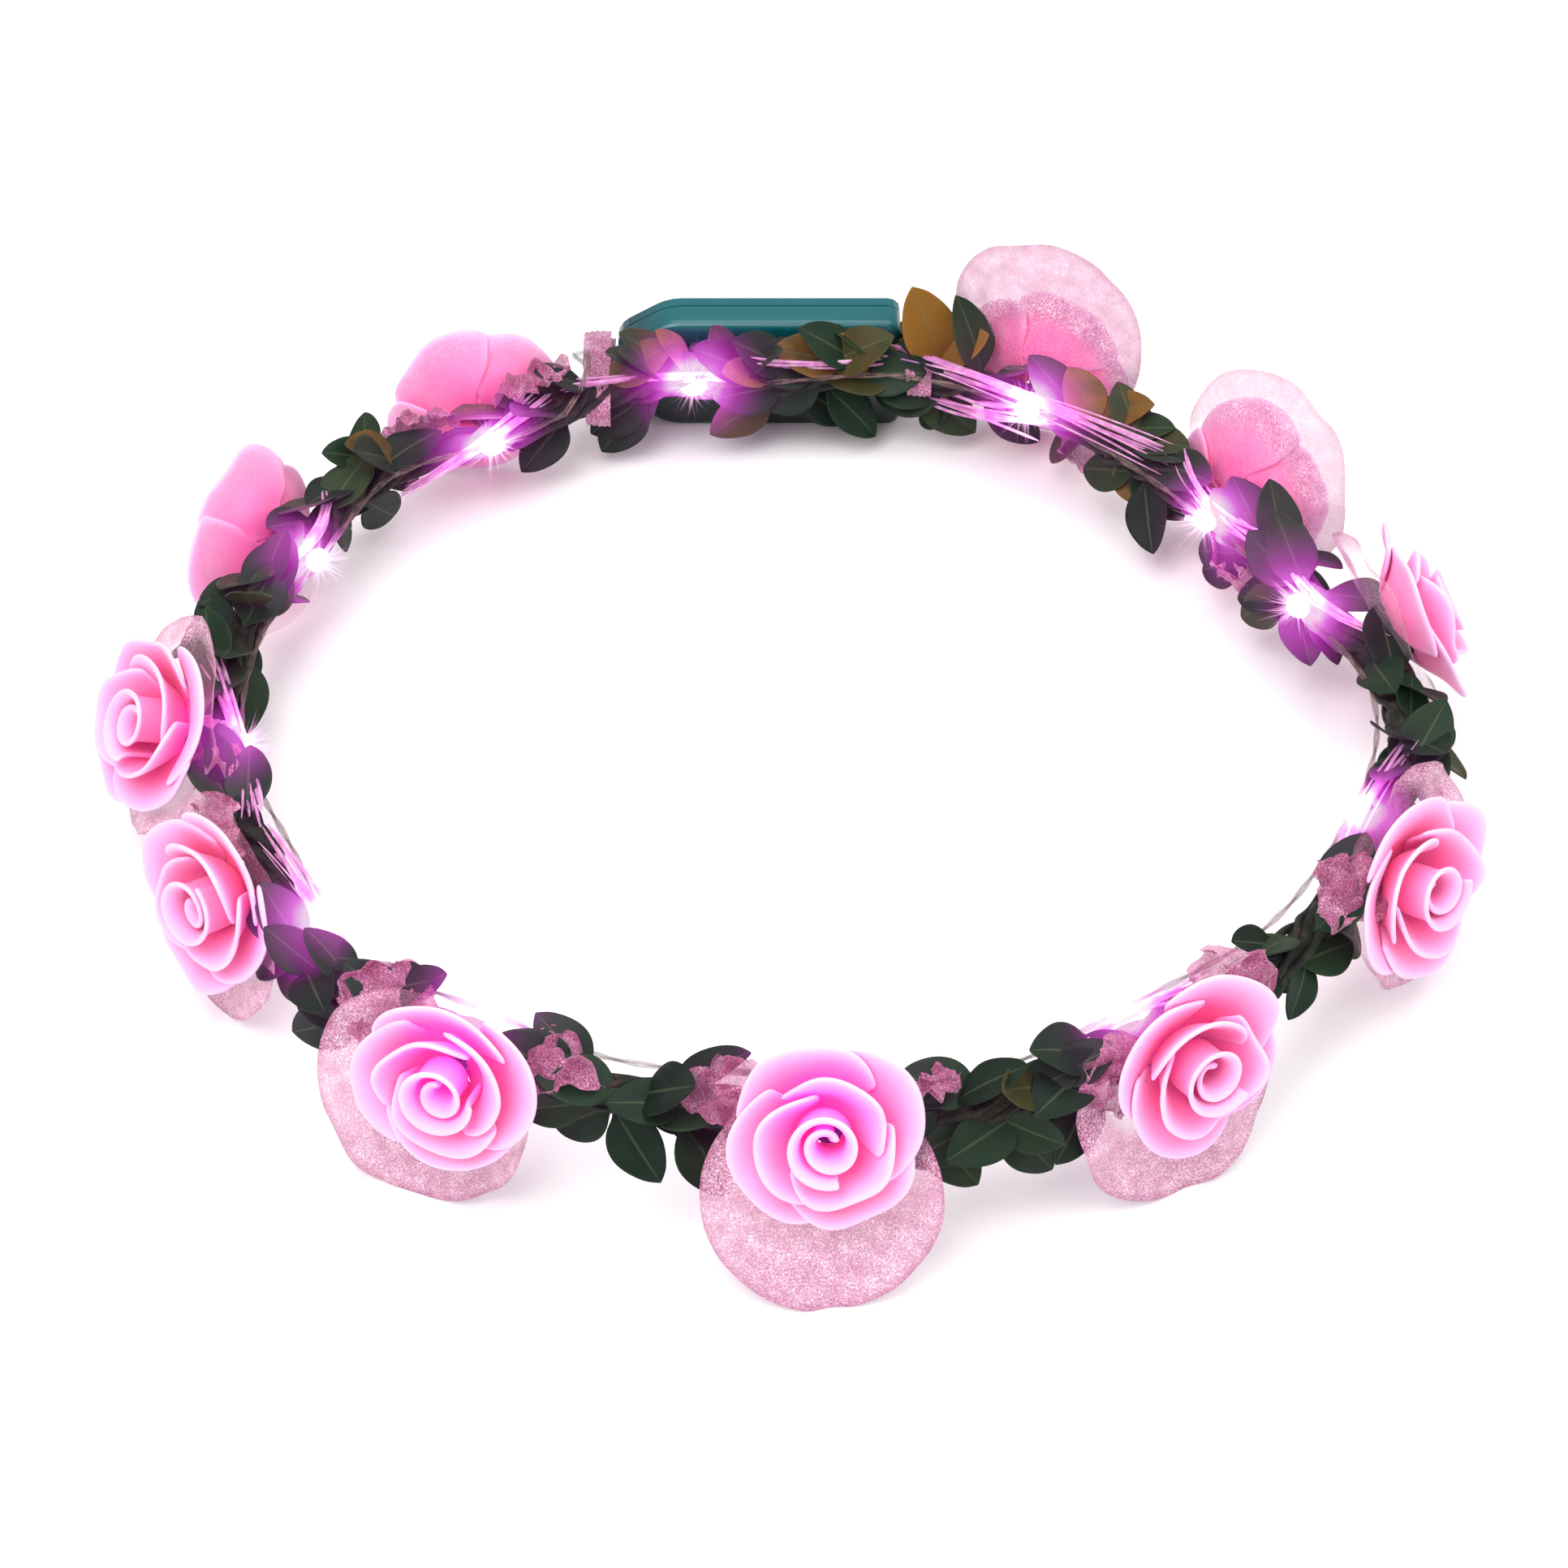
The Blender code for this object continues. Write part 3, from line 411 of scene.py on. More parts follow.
def drawnFibre():  # pulled polyester fibre, silky and sheer, thinning out towards its ends
    material, shader = startMaterial(
        "drawnFibre", {"Roughness": 0.35, "IOR": 1.5, "Sheen Weight": 0.3}
    )
    place = addNode(material, "ShaderNodeTexCoord")
    streak = addNoise(material, place, 2.5, {"Detail": 3.0})
    stops = [(0.3, "#D87CC8"), (0.5, "#F0A0DC"), (0.7, "#FFD4F4")]
    tint = addRamp(material, stops, streak.outputs["Fac"])
    link(material, tint.outputs["Color"], shader, "Base Color")
    sheer = addNode(material, "ShaderNodeAttribute", {"attribute_name": "sheer"})
    link(material, sheer.outputs["Fac"], shader, "Alpha")
    addGlow(material, shader, 1.0)
    return material


def litEpoxy():  # clear moulded epoxy over a lit chip: a white-hot heart
    material, shader = startMaterial(
        "litEpoxy",
        {"Roughness": 0.1, "IOR": 1.5, "Base Color": paint("#FFE4FF"), "Emission Strength": 3.0},
    )
    place = addNode(material, "ShaderNodeTexCoord")
    uneven = addNoise(material, place, 2, {"Detail": 1.0})
    stops = [(0.3, "#FFC8FF"), (0.6, "#FFF4FF")]
    tint = addRamp(material, stops, uneven.outputs["Fac"])
    link(material, tint.outputs["Color"], shader, "Emission Color")
    return material


def boxPlastic():  # moulded ABS, teal: satin with faint flow lines along its length
    material, shader = startMaterial(
        "boxPlastic", {"Roughness": 0.32, "IOR": 1.5, "Coat Weight": 0.15}
    )
    place = addNode(material, "ShaderNodeTexCoord")
    stretch = addNode(
        material,
        "ShaderNodeMapping",
        {"Scale": (0.06, 1.0, 1.0)},
        {"Vector": place.outputs["Object"]},
    )
    flow = addNode(
        material,
        "ShaderNodeTexNoise",
        {"Scale": 1 / (1.2 * mm), "Detail": 3.0},
        {"Vector": stretch.outputs["Vector"]},
    )
    height = addNode(
        material, "ShaderNodeSeparateXYZ", None, {"Vector": place.outputs["Object"]}
    )
    level = addNode(  # painted light and shade: lighter at the top where light from above falls, darker towards the lower edge as painted shade from above and under the leaves laid over it, over the box's height
        material,
        "ShaderNodeMapRange",
        {"From Min": -22 * mm, "From Max": 3.5 * mm, "To Min": 0.0, "To Max": 0.92},
        {"Value": height.outputs["Z"]},
    )
    mixed = addNode(
        material,
        "ShaderNodeMath",
        {"operation": "MULTIPLY_ADD", 1: 0.14},
        {0: flow.outputs["Fac"], 2: level.outputs["Result"]},
    )
    # the stops run from painted shade at the bottom to a painted highlight band at the top
    stops = [(0.15, "#041C18"), (0.4, "#001222"), (0.68, "#002C3C"), (0.86, "#004048")]
    stops.append((0.98, "#00585F"))
    tint = addRamp(material, stops, mixed.outputs["Value"])
    link(material, tint.outputs["Color"], shader, "Base Color")
    bump = addNode(
        material,
        "ShaderNodeBump",
        {"Strength": 0.15, "Distance": 0.1 * mm},
        {"Height": flow.outputs["Fac"]},
    )
    link(material, bump.outputs["Normal"], shader, "Normal")
    return material


def platedMetal(name, light, dark, roughness):  # nickel or brass, with faint polishing marks
    material, shader = startMaterial(name, {"Metallic": 1.0})
    place = addNode(material, "ShaderNodeTexCoord")
    marks = addNoise(material, place, 0.8, {"Detail": 4.0})
    tint = addRamp(material, [(0.3, dark), (0.7, light)], marks.outputs["Fac"])
    link(material, tint.outputs["Color"], shader, "Base Color")
    rough = addNode(
        material,
        "ShaderNodeMapRange",
        {"To Min": roughness * 0.9, "To Max": roughness * 1.3},
        {"Value": marks.outputs["Fac"]},
    )
    link(material, rough.outputs["Result"], shader, "Roughness")
    return material


def mouldedPart(name, light, dark, roughness, grain):  # board laminate and moulded nylon
    material, shader = startMaterial(name, {"Roughness": roughness, "IOR": 1.5})
    place = addNode(material, "ShaderNodeTexCoord")
    speck = addNode(
        material,
        "ShaderNodeTexNoise",
        {"Scale": 1 / (grain * mm), "Detail": 2.0},
        {"Vector": place.outputs["Object"]},
    )
    tint = addRamp(material, [(0.3, dark), (0.7, light)], speck.outputs["Fac"])
    link(material, tint.outputs["Color"], shader, "Base Color")
    bump = addNode(
        material,
        "ShaderNodeBump",
        {"Strength": 0.2, "Distance": 0.1 * mm},
        {"Height": speck.outputs["Fac"]},
    )
    link(material, bump.outputs["Normal"], shader, "Normal")
    return material


foam = roseFoam()
organza = glitterOrganza()
leafPrint = leafCloth()
tape = vineTape()
clearWire = clearLead()
fibre = drawnFibre()
epoxy = litEpoxy()
teal = boxPlastic()
nickel = platedMetal("nickelPlate", "#E4E2DC", "#CCCAC4", 0.42)
brass = platedMetal("springBrass", "#D8B868", "#A88840", 0.3)
laminate = mouldedPart("boardLaminate", "#2C7448", "#1C5232", 0.45, 0.6)
nylon = mouldedPart("blackNylon", "#202022", "#101012", 0.4, 0.4)
print("materials made")


def finishPiece(name, bm, material, replaced=(), wall=0.0, levels=0):
    table = (wall / 2 + 0.1 - vine["drop"]) * mm
    for vert in bm.verts:  # what hangs low rests on the table
        vert.co.z = max(vert.co.z, table)
    mesh = bpy.data.meshes.new(name)
    bm.to_mesh(mesh)
    bm.free()
    mesh.materials.append(material)
    mesh.shade_smooth()
    paintGlow(mesh)
    piece = bpy.data.objects.new(name, mesh)
    bpy.context.scene.collection.objects.link(piece)
    if wall:
        solid = piece.modifiers.new("wall", "SOLIDIFY")
        solid.thickness = wall * mm
        solid.offset = 0.0
    if levels:
        rounder = piece.modifiers.new("rounder", "SUBSURF")
        rounder.levels = levels
        rounder.render_levels = levels
    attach(piece, "crown")
    if replaced:
        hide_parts(*replaced)
    return piece


def sweep(bm, stations, sides, closed=False):  # stations are (place, forward, up, radius)
    ring = bmesh.ops.create_circle(bm, segments=sides, radius=1.0)["verts"]
    angles = {vert: math.atan2(vert.co.y, vert.co.x) for vert in ring}
    first = list(ring)
    edges = [edge for edge in bm.edges if angles.keys() >= set(edge.verts)]
    firstEdges = edges
    path = list(stations) + ([stations[0]] if closed else [])
    for count, (place, forward, up, radius) in enumerate(path):
        if count:
            grown = bmesh.ops.extrude_edge_only(bm, edges=edges)["geom"]
            edges = [item for item in grown if isinstance(item, bmesh.types.BMEdge)]
            fresh = {vert for edge in edges for vert in edge.verts}
            partners = {}
            for vert in fresh:
                for edge in vert.link_edges:
                    if edge not in edges:
                        partners[vert] = edge.other_vert(vert)
            angles = {vert: angles[partners[vert]] for vert in fresh}
        side = forward.cross(up).normalized()
        over = side.cross(forward)
        for vert, angle in angles.items():
            vert.co = place + radius * (side * math.cos(angle) + over * math.sin(angle))
    if closed:
        bmesh.ops.remove_doubles(bm, verts=first + list(angles), dist=0.001 * mm)
    else:
        for loop in (firstEdges, edges):
            bmesh.ops.contextual_create(bm, geom=loop)


def threadStations(points, radius):  # for a sweep along points, thinner at both ends
    stations = []
    last = len(points) - 1
    for i, place in enumerate(points):
        forward = (points[min(i + 1, last)] - points[max(i - 1, 0)]).normalized()
        thin = 0.35 if i in (0, last) else 1.0
        stations.append((place, forward, Vector((0, 0, 1)), radius * thin * mm))
    return stations


# the taped wire and the stems twisted round it
stems = {"stations": 720, "sides": 12, "stemRadius": 0.75, "stemCount": 5, "twist": 30}


def buildVine():
    bm = bmesh.new()
    stations = []
    for i in range(stems["stations"]):
        angle = 360 * i / stems["stations"]
        place, forward, _, upward = vineFrame(angle)
        lap = (angle * 0.45) % 1.0  # one lap of the tape every 2.2 degrees
        lump = noise.noise(place / (4 * mm)) * 0.6
        radius = vine["wire"] + 0.45 + 0.35 * lap + lump
        stations.append((place, forward, upward, radius * mm))
    sweep(bm, stations, stems["sides"], closed=True)
    for number in range(stems["stemCount"]):
        run = []
        steps = 420
        for i in range(steps):
            angle = 360 * i / steps
            sway = noise.noise(Vector((angle / 7, number * 3.0, 5.0)))
            clock = stems["twist"] * angle / 2 + 360 * number / stems["stemCount"] + 70 * sway
            away = vine["wire"] + 0.9 + 0.9 * noise.noise(Vector((angle / 5, number * 7.0, 0)))
            place = besideVine(angle, clock, away)
            run.append(place)
        ring = []
        for i, place in enumerate(run):
            forward = (run[(i + 1) % steps] - run[i - 1]).normalized()
            ring.append((place, forward, Vector((0, 0, 1)), stems["stemRadius"] * mm))
        sweep(bm, ring, 6, closed=True)
    bmesh.ops.recalc_face_normals(bm, faces=bm.faces)
    finishPiece("taped_vine", bm, tape, ["vine_ring"])


buildVine()
print("vine built")

# each rose: angle round the ring, turn, tilt up, disc's shift right and up (None: it hangs to
# the table), and the spin of its petals about its own stem
roses = [
    (273, 0, 24, -1, None, 20),
    (239, 12, 12, -6, None, 95),
    (207, 23, 12, -3, None, 160),
    (183, 24, 28, -2, -2, 40),
    (152, -12, -11, 2, 3, 75),
    (125, -16, -3, 2, 6, 130),
    (65, 12, -2, -1, 12, 10),
    (37, 18, -9, -5, 9, 60),
    (11, -16, 22, 2, -3, 110),
    (336, -16, 14, 5, -3, 85),
    (305, -6, 12, -2, None, 50),
]

rose = {
    "collar": 7.3,  # from the vine's centre line to the petals
    "foam": 0.9,
    "layers": [  # petals, rim radius, rim height, half width, outward curl, tuck, first angle
        (4, 12.7, 8.2, 62, 4.2, 0.12, 0),
        (3, 8.9, 11.4, 78, 2.4, 0.14, 40),
    ],
    "swirl": (0.7, 5.6, 13.2, 1.75),  # first and last radius, height, turns
}


def roseFrame(angle, turn, tilt):
    place, _, outward, _ = vineFrame(angle)
    flat = Matrix.Rotation(math.radians(turn), 3, "Z") @ outward
    rise = math.radians(tilt)
    return facing(place, flat * math.cos(rise) + Vector((0, 0, math.sin(rise))))


def shapePetal(bm, bloom, layer, middle, seed):
    _, rimRadius, rimHeight, halfWidth, curl, tuck, _ = layer
    grid = bmesh.ops.create_grid(bm, x_segments=14, y_segments=9, size=1.0)["verts"]
    wander = Vector((seed * 3.7, seed * 1.3, 0))
    lean = 1 + 0.8 * noise.noise(wander)  # some petals fall further open than others
    for vert in grid:
        across = vert.co.x
        up = (vert.co.y + 1) / 2
        reach = up * (1 - 0.26 * abs(across) ** 2.6)
        spread = math.radians(halfWidth) * min(1.0, 0.45 + 0.9 * up**0.7)
        angle = middle + across * spread
        ripple = noise.noise(wander + Vector((across * 1.6, up * 1.2, 0)))
        radius = 1.6 + (rimRadius - 1.6) * math.sin(reach * math.pi / 2) ** 0.8
        height = rimHeight * (1 - math.cos(reach * math.pi / 2)) ** 0.8
        lip = max(0.0, (reach - 0.55) / 0.45)
        radius += curl * lean * lip**1.6
        height -= 0.4 * curl * lean * lip**2.2
        side = max(0.0, (abs(across) - 0.6) / 0.4)
        radius *= 1 + tuck * across
        radius += 0.8 * side**2 + 2.0 * ripple * up
        height += 1.9 * ripple * up + 0.5
        vert.co = Vector((math.cos(angle) * radius, math.sin(angle) * radius, 0)) * mm
        vert.co.z = (rose["collar"] + height) * mm
        # painted shade low in each petal's cup, rising to pale rims and free edges that are partly
        # painted glow
        rim = max(up**5, abs(across) ** 9 * up)
        vert[bloom] = 0.12 + 0.5 * up + 0.38 * rim
    return grid


def shapeSwirl(bm, bloom, seed):
    inner, outer, height, turns = rose["swirl"]
    grid = bmesh.ops.create_grid(bm, x_segments=72, y_segments=7, size=1.0)["verts"]
    for vert in grid:
        along = (vert.co.x + 1) / 2
        up = (vert.co.y + 1) / 2
        angle = along * turns * 2 * math.pi
        wave = noise.noise(Vector((along * 4, seed * 2.1, 0)))
        lip = max(0.0, (up - 0.6) / 0.4)
        radius = inner + (outer - inner) * along**0.85 + 0.5 * wave + 1.5 * lip**1.5
        fall = 1 - 0.2 * (1 - along) ** 2
        rise = 4.0 + (height * fall - 4.0) * up + 0.8 * wave * up - 0.7 * lip**3
        rise += rose["collar"]
        vert.co = Vector((math.cos(angle) * radius, math.sin(angle) * radius, rise)) * mm
        # the bud is painted paler as painted glow, palest at its lips
        vert[bloom] = 0.4 + 0.3 * up + 0.3 * lip
    return grid


def buildRose(number, angle, turn, tilt, spin):
    place = roseFrame(angle, turn, tilt) @ Matrix.Rotation(math.radians(spin), 4, "Z")
    bm = bmesh.new()
    bloom = bm.verts.layers.float.new("bloom")
    seed = number * 11
    for order, layer in enumerate(rose["layers"]):
        count, first = layer[0], layer[6]
        for petal in range(count):
            middle = math.radians(first + 360 * petal / count)
            shapePetal(bm, bloom, layer, middle, seed + order * 5 + petal)
    shapeSwirl(bm, bloom, seed)
    bmesh.ops.transform(bm, matrix=place, verts=bm.verts)
    name = f"rose_{number:02d}"
    finishPiece(f"foam_{name}", bm, foam, [name], rose["foam"], 1)
    stem = bmesh.new()
    axis = place.col[2].xyz
    low = place @ Vector((0, 0, vine["wire"] * mm))
    high = place @ Vector((0, 0, (rose["collar"] + 2.5) * mm))
    points = [low.lerp(high, i / 5) for i in range(6)]
    stations = []
    for i, point in enumerate(points):
        width = 1.1 + (1.4 * (i / 5) ** 4)
        stations.append((point, axis, place.col[1].xyz, width * mm))
    sweep(stem, stations, 12)
    bmesh.ops.recalc_face_normals(stem, faces=stem.faces)
    finishPiece(f"stem_{name}", stem, tape)


for number, (angle, turn, tilt, _, _, spin) in enumerate(roses, 1):
    buildRose(number, angle, turn, tilt, spin)
print("roses built")

# round organza, hand cut, threaded on the stem off its middle and cupped towards the petals
disc = {"radius": 20.5, "seat": 4.9, "cup": 3.2, "grid": 56, "clear": 14.0}
disc["sparse"] = {5: 0.25, 6: 0.3, 8: 0.8}  # discs with little glitter, by their share


def buildDisc(number, angle, turn, tilt, right, up):
    place = roseFrame(angle, turn / 2, tilt)
    stem = place.to_3x3().inverted() @ roseFrame(angle, turn, tilt).col[2].xyz
    hole = stem * (disc["seat"] / stem.z)
    hole.z = 0
    if up is None:
        rise = math.radians(tilt)
        rim = place @ (Vector((0, hole.y, disc["seat"] + disc["cup"])) * mm)
        drop = rim.z / mm + vine["drop"] - disc["radius"] * math.cos(rise)
        up = -drop / math.cos(rise)
    shift = Vector((right, up, 0))
    bm = bmesh.new()
    sheer = bm.verts.layers.float.new("sheer")
    deep = bm.verts.layers.float.new("deep")
    size = disc["grid"]
    grid = bmesh.ops.create_grid(bm, x_segments=size, y_segments=size, size=1.0)["verts"]
    table = (0.15 - vine["drop"]) * mm
    for vert in grid:
        x = vert.co.x * math.sqrt(1 - vert.co.y**2 / 2)
        y = vert.co.y * math.sqrt(1 - vert.co.x**2 / 2)
        share = min(1.0, math.hypot(x, y))
        turnOf = math.atan2(y, x)
        cut = 1 + 0.035 * noise.noise(Vector((x * 1.3, y * 1.3, number * 5.0)))
        flat = hole + shift * share + Vector((x, y, 0)) * disc["radius"] * cut
        wave = 0.9 * math.sin(3 * turnOf + number) + 0.5 * math.sin(7 * turnOf + 2 * number)
        crease = noise.noise(Vector((x * 3.5, y * 3.5, number * 3.0)))
        height = disc["seat"] + disc["cup"] * share + wave * share**2 + 0.8 * crease
        vert.co = place @ ((flat + Vector((0, 0, height))) * mm)
        vert.co.z = max(vert.co.z, table)
        away = (flat - hole).length
        left = disc["sparse"].get(number, 1.0)
        vert[sheer] = min(1.0, max(0.3, (away - disc["clear"]) / 4)) * left
        vert[deep] = 0.12 * max(0.0, (share - 0.95) / 0.05)
    name = f"organza_disc_{number:02d}"
    piece = finishPiece(f"sheer_{name}", bm, organza, [name])


for number, (angle, turn, tilt, right, up, _) in enumerate(roses, 1):
    buildDisc(number, angle, turn, tilt, right, up)
print("discs built")

# leaf sprigs: first and last angle, then each leaf as share along, clock, lift, length; a
# negative length points the leaf back along the vine
sprigs = [
    ((250, 262), [(0.1, 110, 40, -14), (0.3, -60, 50, 15), (0.5, 60, 45, 16), (0.8, -75, 60, 17)]),
    ((217, 223), [(0.3, -110, 35, 11), (0.7, 100, 40, 11)]),
    ((193, 199), [(0.3, 100, 45, -13), (0.6, -60, 50, 12)]),
    ((164, 174), [(0.1, 100, 60, 14), (0.5, -110, 45, 16), (0.6, 30, 45, 12), (0.9, 100, 50, 12)]),
    ((135, 142), [(0.2, 110, 50, 15), (0.5, 30, 50, -13), (0.8, -100, 50, -15)]),
    ((101, 107), [(0.2, 80, 40, 15), (0.5, 110, 50, 14), (0.8, -100, 50, 15)]),
    ((82, 96), [(0.1, 100, 50, 15), (0.35, -120, 45, -15), (0.6, 100, 40, 15), (0.9, 110, 45, 15)]),
    ((69, 75), [(0.2, 80, 75, 17), (0.7, -90, 50, 14)]),
    ((46, 54), [(0.2, -130, 50, -15), (0.5, 60, 40, 14), (0.8, -60, 45, 14)]),
    ((18, 26), [(0.2, 100, 60, 15), (0.5, -120, 50, 14), (0.8, 80, 55, 16)]),
    ((346, 359), [(0.1, -110, 45, 15), (0.3, 60, 45, 15), (0.6, 110, 50, -14), (0.9, -20, 40, -14)]),
    ((280, 293), [(0.1, -70, 50, 15), (0.3, 80, 45, 15), (0.6, -60, 55, 15), (0.9, 60, 40, -14)]),
]
fills = [(294, 300), (316, 329), (2, 7), (27, 31), (55, 60), (110, 120), (144, 149), (157, 163)]
fills += [(175, 179), (226, 232), (76, 80)]  # more leaves between the wraps
leaf = {"width": 0.62, "cloth": 0.35, "fold": 0.14, "density": 0.75}
chance = random.Random(7)


def shapeLeaf(bm, layers, angle, clock, lift, length, tone):
    across, toneLayer = layers
    _, forward, outward, upward = vineFrame(angle)
    turn = math.radians(clock)
    radial = outward * math.cos(turn) + upward * math.sin(turn)
    heading = forward * math.copysign(1, length)
    rise = math.radians(lift)
    ahead = (heading * math.cos(rise) + radial * math.sin(rise)).normalized()
    wish = radial * 0.5 + Vector((0, -0.3, 0.8))  # leaves turn their faces to the light
    side = ahead.cross(wish).normalized()
    face = side.cross(ahead)
    roll = chance.uniform(-0.45, 0.45)
    turned = Matrix.Rotation(roll, 3, ahead)
    side, face = turned @ side, turned @ face
    base = besideVine(angle, clock, vine["wire"] + 0.4)
    size = abs(length) * mm
    wide = leaf["width"] * size / 2
    bend = chance.uniform(-0.02, 0.2)
    grid = bmesh.ops.create_grid(bm, x_segments=8, y_segments=12, size=1.0)["verts"]
    for vert in grid:
        sideways = vert.co.x
        up = (vert.co.y + 1) / 2
        body = max(0.0, (up - 0.08) / 0.92)
        half = wide * (0.08 + math.sin(math.pi * body**0.82) ** 0.72 * (1 - 0.1 * body))
        half *= 1 - 0.98 * max(0.0, (up - 0.97) / 0.03)
        fold = leaf["fold"] * abs(sideways) ** 1.4 * half
        sag = bend * size * up**2
        wave = 0.012 * size * math.sin(up * 9 + clock) * abs(sideways)
        vert[across] = sideways
        vert[toneLayer] = tone
        vert.co = base + ahead * up * size + side * sideways * half + face * (fold - sag + wave)


def fillLeaves(bm, layers, span):  # pairs of smaller leaves along the stems
    first, last = span
    count = round(leaf["density"] * (last - first)) + 3
    for i in range(count):
        angle = first + (last - first) * (i + 0.5) / count
        clock = (1, -1)[i % 2] * chance.uniform(25, 125)
        length = chance.choice((-1, 1)) * chance.uniform(12, 16.5)
        behind = max(0.0, math.sin(math.radians(angle)))
        tone = chance.uniform(0.0, 0.3 + 0.65 * behind)
        shapeLeaf(bm, layers, angle, clock, chance.uniform(12, 42), length, tone)


def buildSprig(name, span, leaves, replaced):
    bm = bmesh.new()
    layers = [bm.verts.layers.float.new(layer) for layer in ("across", "tone")]
    first, last = span
    for share, clock, lift, length in leaves:
        angle = first + (last - first) * share
        shapeLeaf(bm, layers, angle, clock, lift, length, chance.uniform(0.0, 0.55))
    fillLeaves(bm, layers, span)
    finishPiece(name, bm, leafPrint, replaced, leaf["cloth"], 1)


for number, (span, leaves) in enumerate(sprigs, 1):
    buildSprig(f"cloth_leaf_sprig_{number:02d}", span, leaves, [f"leaf_sprig_{number:02d}"])
for number, span in enumerate(fills, 1):
    buildSprig(f"cloth_leaf_fill_{number:02d}", span, [], ())

# leaves laid over the head side of the box: angle, clock, lift, length, tone
boxLeaves = [
    (87, 112, 20, 17, 0.05),
    (84, 150, 15, -15, 0.2),
    (91, 178, 10, 15, 0.1),
    (81, 100, 25, 13, 0.75),
    (93, 130, 40, 12, 0.85),
    (101, 85, 60, 12, 0.8),
    (104, 105, 40, 15, 0.4),
    (97, 92, 75, 12, 0.5),
    (95, 115, 60, -12, 0.3),
    (87, -150, 10, 14, 0.1),
    (82, -160, 12, -14, 0.2),
    (79, 165, 15, 14, 0.5),
    (74.5, 85, 70, 18, 0.95),
]


def buildBoxLeaves():
    bm = bmesh.new()
    layers = [bm.verts.layers.float.new(layer) for layer in ("across", "tone")]
    for angle, clock, lift, length, tone in boxLeaves:
        shapeLeaf(bm, layers, angle, clock, lift, length, tone)
    finishPiece("cloth_leaf_box", bm, leafPrint, (), leaf["cloth"], 1)


buildBoxLeaves()
print("leaves built")

# the clear two-core lead, out of the box and round the inner side of the vine to the last LED
lead = {"clock": 150, "away": 5.8, "core": 0.3, "pitch": 9.0, "last": 461.6}


def buildLead():
    low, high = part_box("strain_relief")
    mouth = Vector((low[0], (low[1] + high[1]) / 2, (low[2] + high[2]) / 2))
    leave = math.degrees(math.atan2(mouth.y, mouth.x))
    route = [mouth + Vector((9, 0, 0)) * mm, mouth, mouth + Vector((-2, -1.5, 3)) * mm]
    arc = math.degrees(1 / vine["radius"])  # degrees for a millimetre along the vine
    route.append(besideVine(leave + 1.6 * arc, 45, lead["away"] + 2.8))
    route.append(besideVine(leave + 4.0 * arc, 85, lead["away"] + 1))
    route.append(besideVine(leave + 8.0 * arc, 120, lead["away"]))
    first = leave + 13.5 * arc
    steps = 320
    for i in range(steps):
        angle = first + (lead["last"] - first) * i / (steps - 1)
        route.append(besideVine(angle, lead["clock"], lead["away"]))
    bm = bmesh.new()
    for core in (0, 1):
        points = []
        for i, place in enumerate(route):
            ahead = (route[min(i + 1, len(route) - 1)] - route[max(i - 1, 0)]).normalized()
            side = ahead.cross(Vector((0, 0, 1))).normalized()
            over = side.cross(ahead)
            turn = i * 2 * math.pi / lead["pitch"] + core * math.pi
            off = (side * math.cos(turn) + over * math.sin(turn)) * lead["core"] * mm
            points.append(place + off)
        sweep(bm, threadStations(points, lead["core"]), 6)
    bmesh.ops.recalc_face_normals(bm, faces=bm.faces)
    finishPiece("clear_lead", bm, clearWire, ["led_wire"])


def buildBead(number, place):
    angle = math.degrees(math.atan2(place.y, place.x))
    _, forward, _, _ = vineFrame(angle)
    bm = bmesh.new()
    bmesh.ops.create_uvsphere(bm, u_segments=20, v_segments=12, radius=2.0 * mm)
    turned = facing((0, 0, 0), forward)
    bmesh.ops.scale(bm, vec=(1, 1, 1.3), verts=bm.verts)
    bmesh.ops.transform(bm, matrix=Matrix.Translation(place) @ turned, verts=bm.verts)
    name = f"led_bead_{number:02d}"
    finishPiece(f"lit_{name}", bm, epoxy, [name])


buildLead()
for number, place in enumerate(ledPlaces, 1):
    buildBead(number, place)
print("lead and beads built")

# fluffed polyester fibre round each LED, which spreads its light
tuft = {"fibres": 150, "length": (3.0, 8.0), "width": 0.6, "steps": 4}


def buildTuft(number, place):
    bm = bmesh.new()
    sheer = bm.verts.layers.float.new("sheer")
    angle = math.degrees(math.atan2(place.y, place.x))
    centre = vinePoint(angle)
    outward = (place - centre).normalized()
    for _ in range(tuft["fibres"]):
        way = Vector([chance.gauss(0, 1) for _ in range(3)]).normalized()
        way = (way + outward * 0.5).normalized()
        bow = Vector([chance.gauss(0, 1) for _ in range(3)]) * 0.25
        size = chance.uniform(*tuft["length"]) * mm
        side = way.cross(Vector([chance.gauss(0, 1) for _ in range(3)])).normalized()
        strip = bmesh.ops.create_grid(bm, x_segments=1, y_segments=tuft["steps"], size=1.0)
        for vert in strip["verts"]:
            up = (vert.co.y + 1) / 2
            half = tuft["width"] / 2 * mm * (1 - 0.85 * up)
            spot = place + way * size * up + bow * size * up**2
            vert[sheer] = 0.45 * (1 - up) ** 1.4
            vert.co = spot + side * vert.co.x * half
    finishPiece(f"fibre_tuft_{number:02d}", bm, fibre)


for number, place in enumerate(ledPlaces, 1):
    buildTuft(number, place)

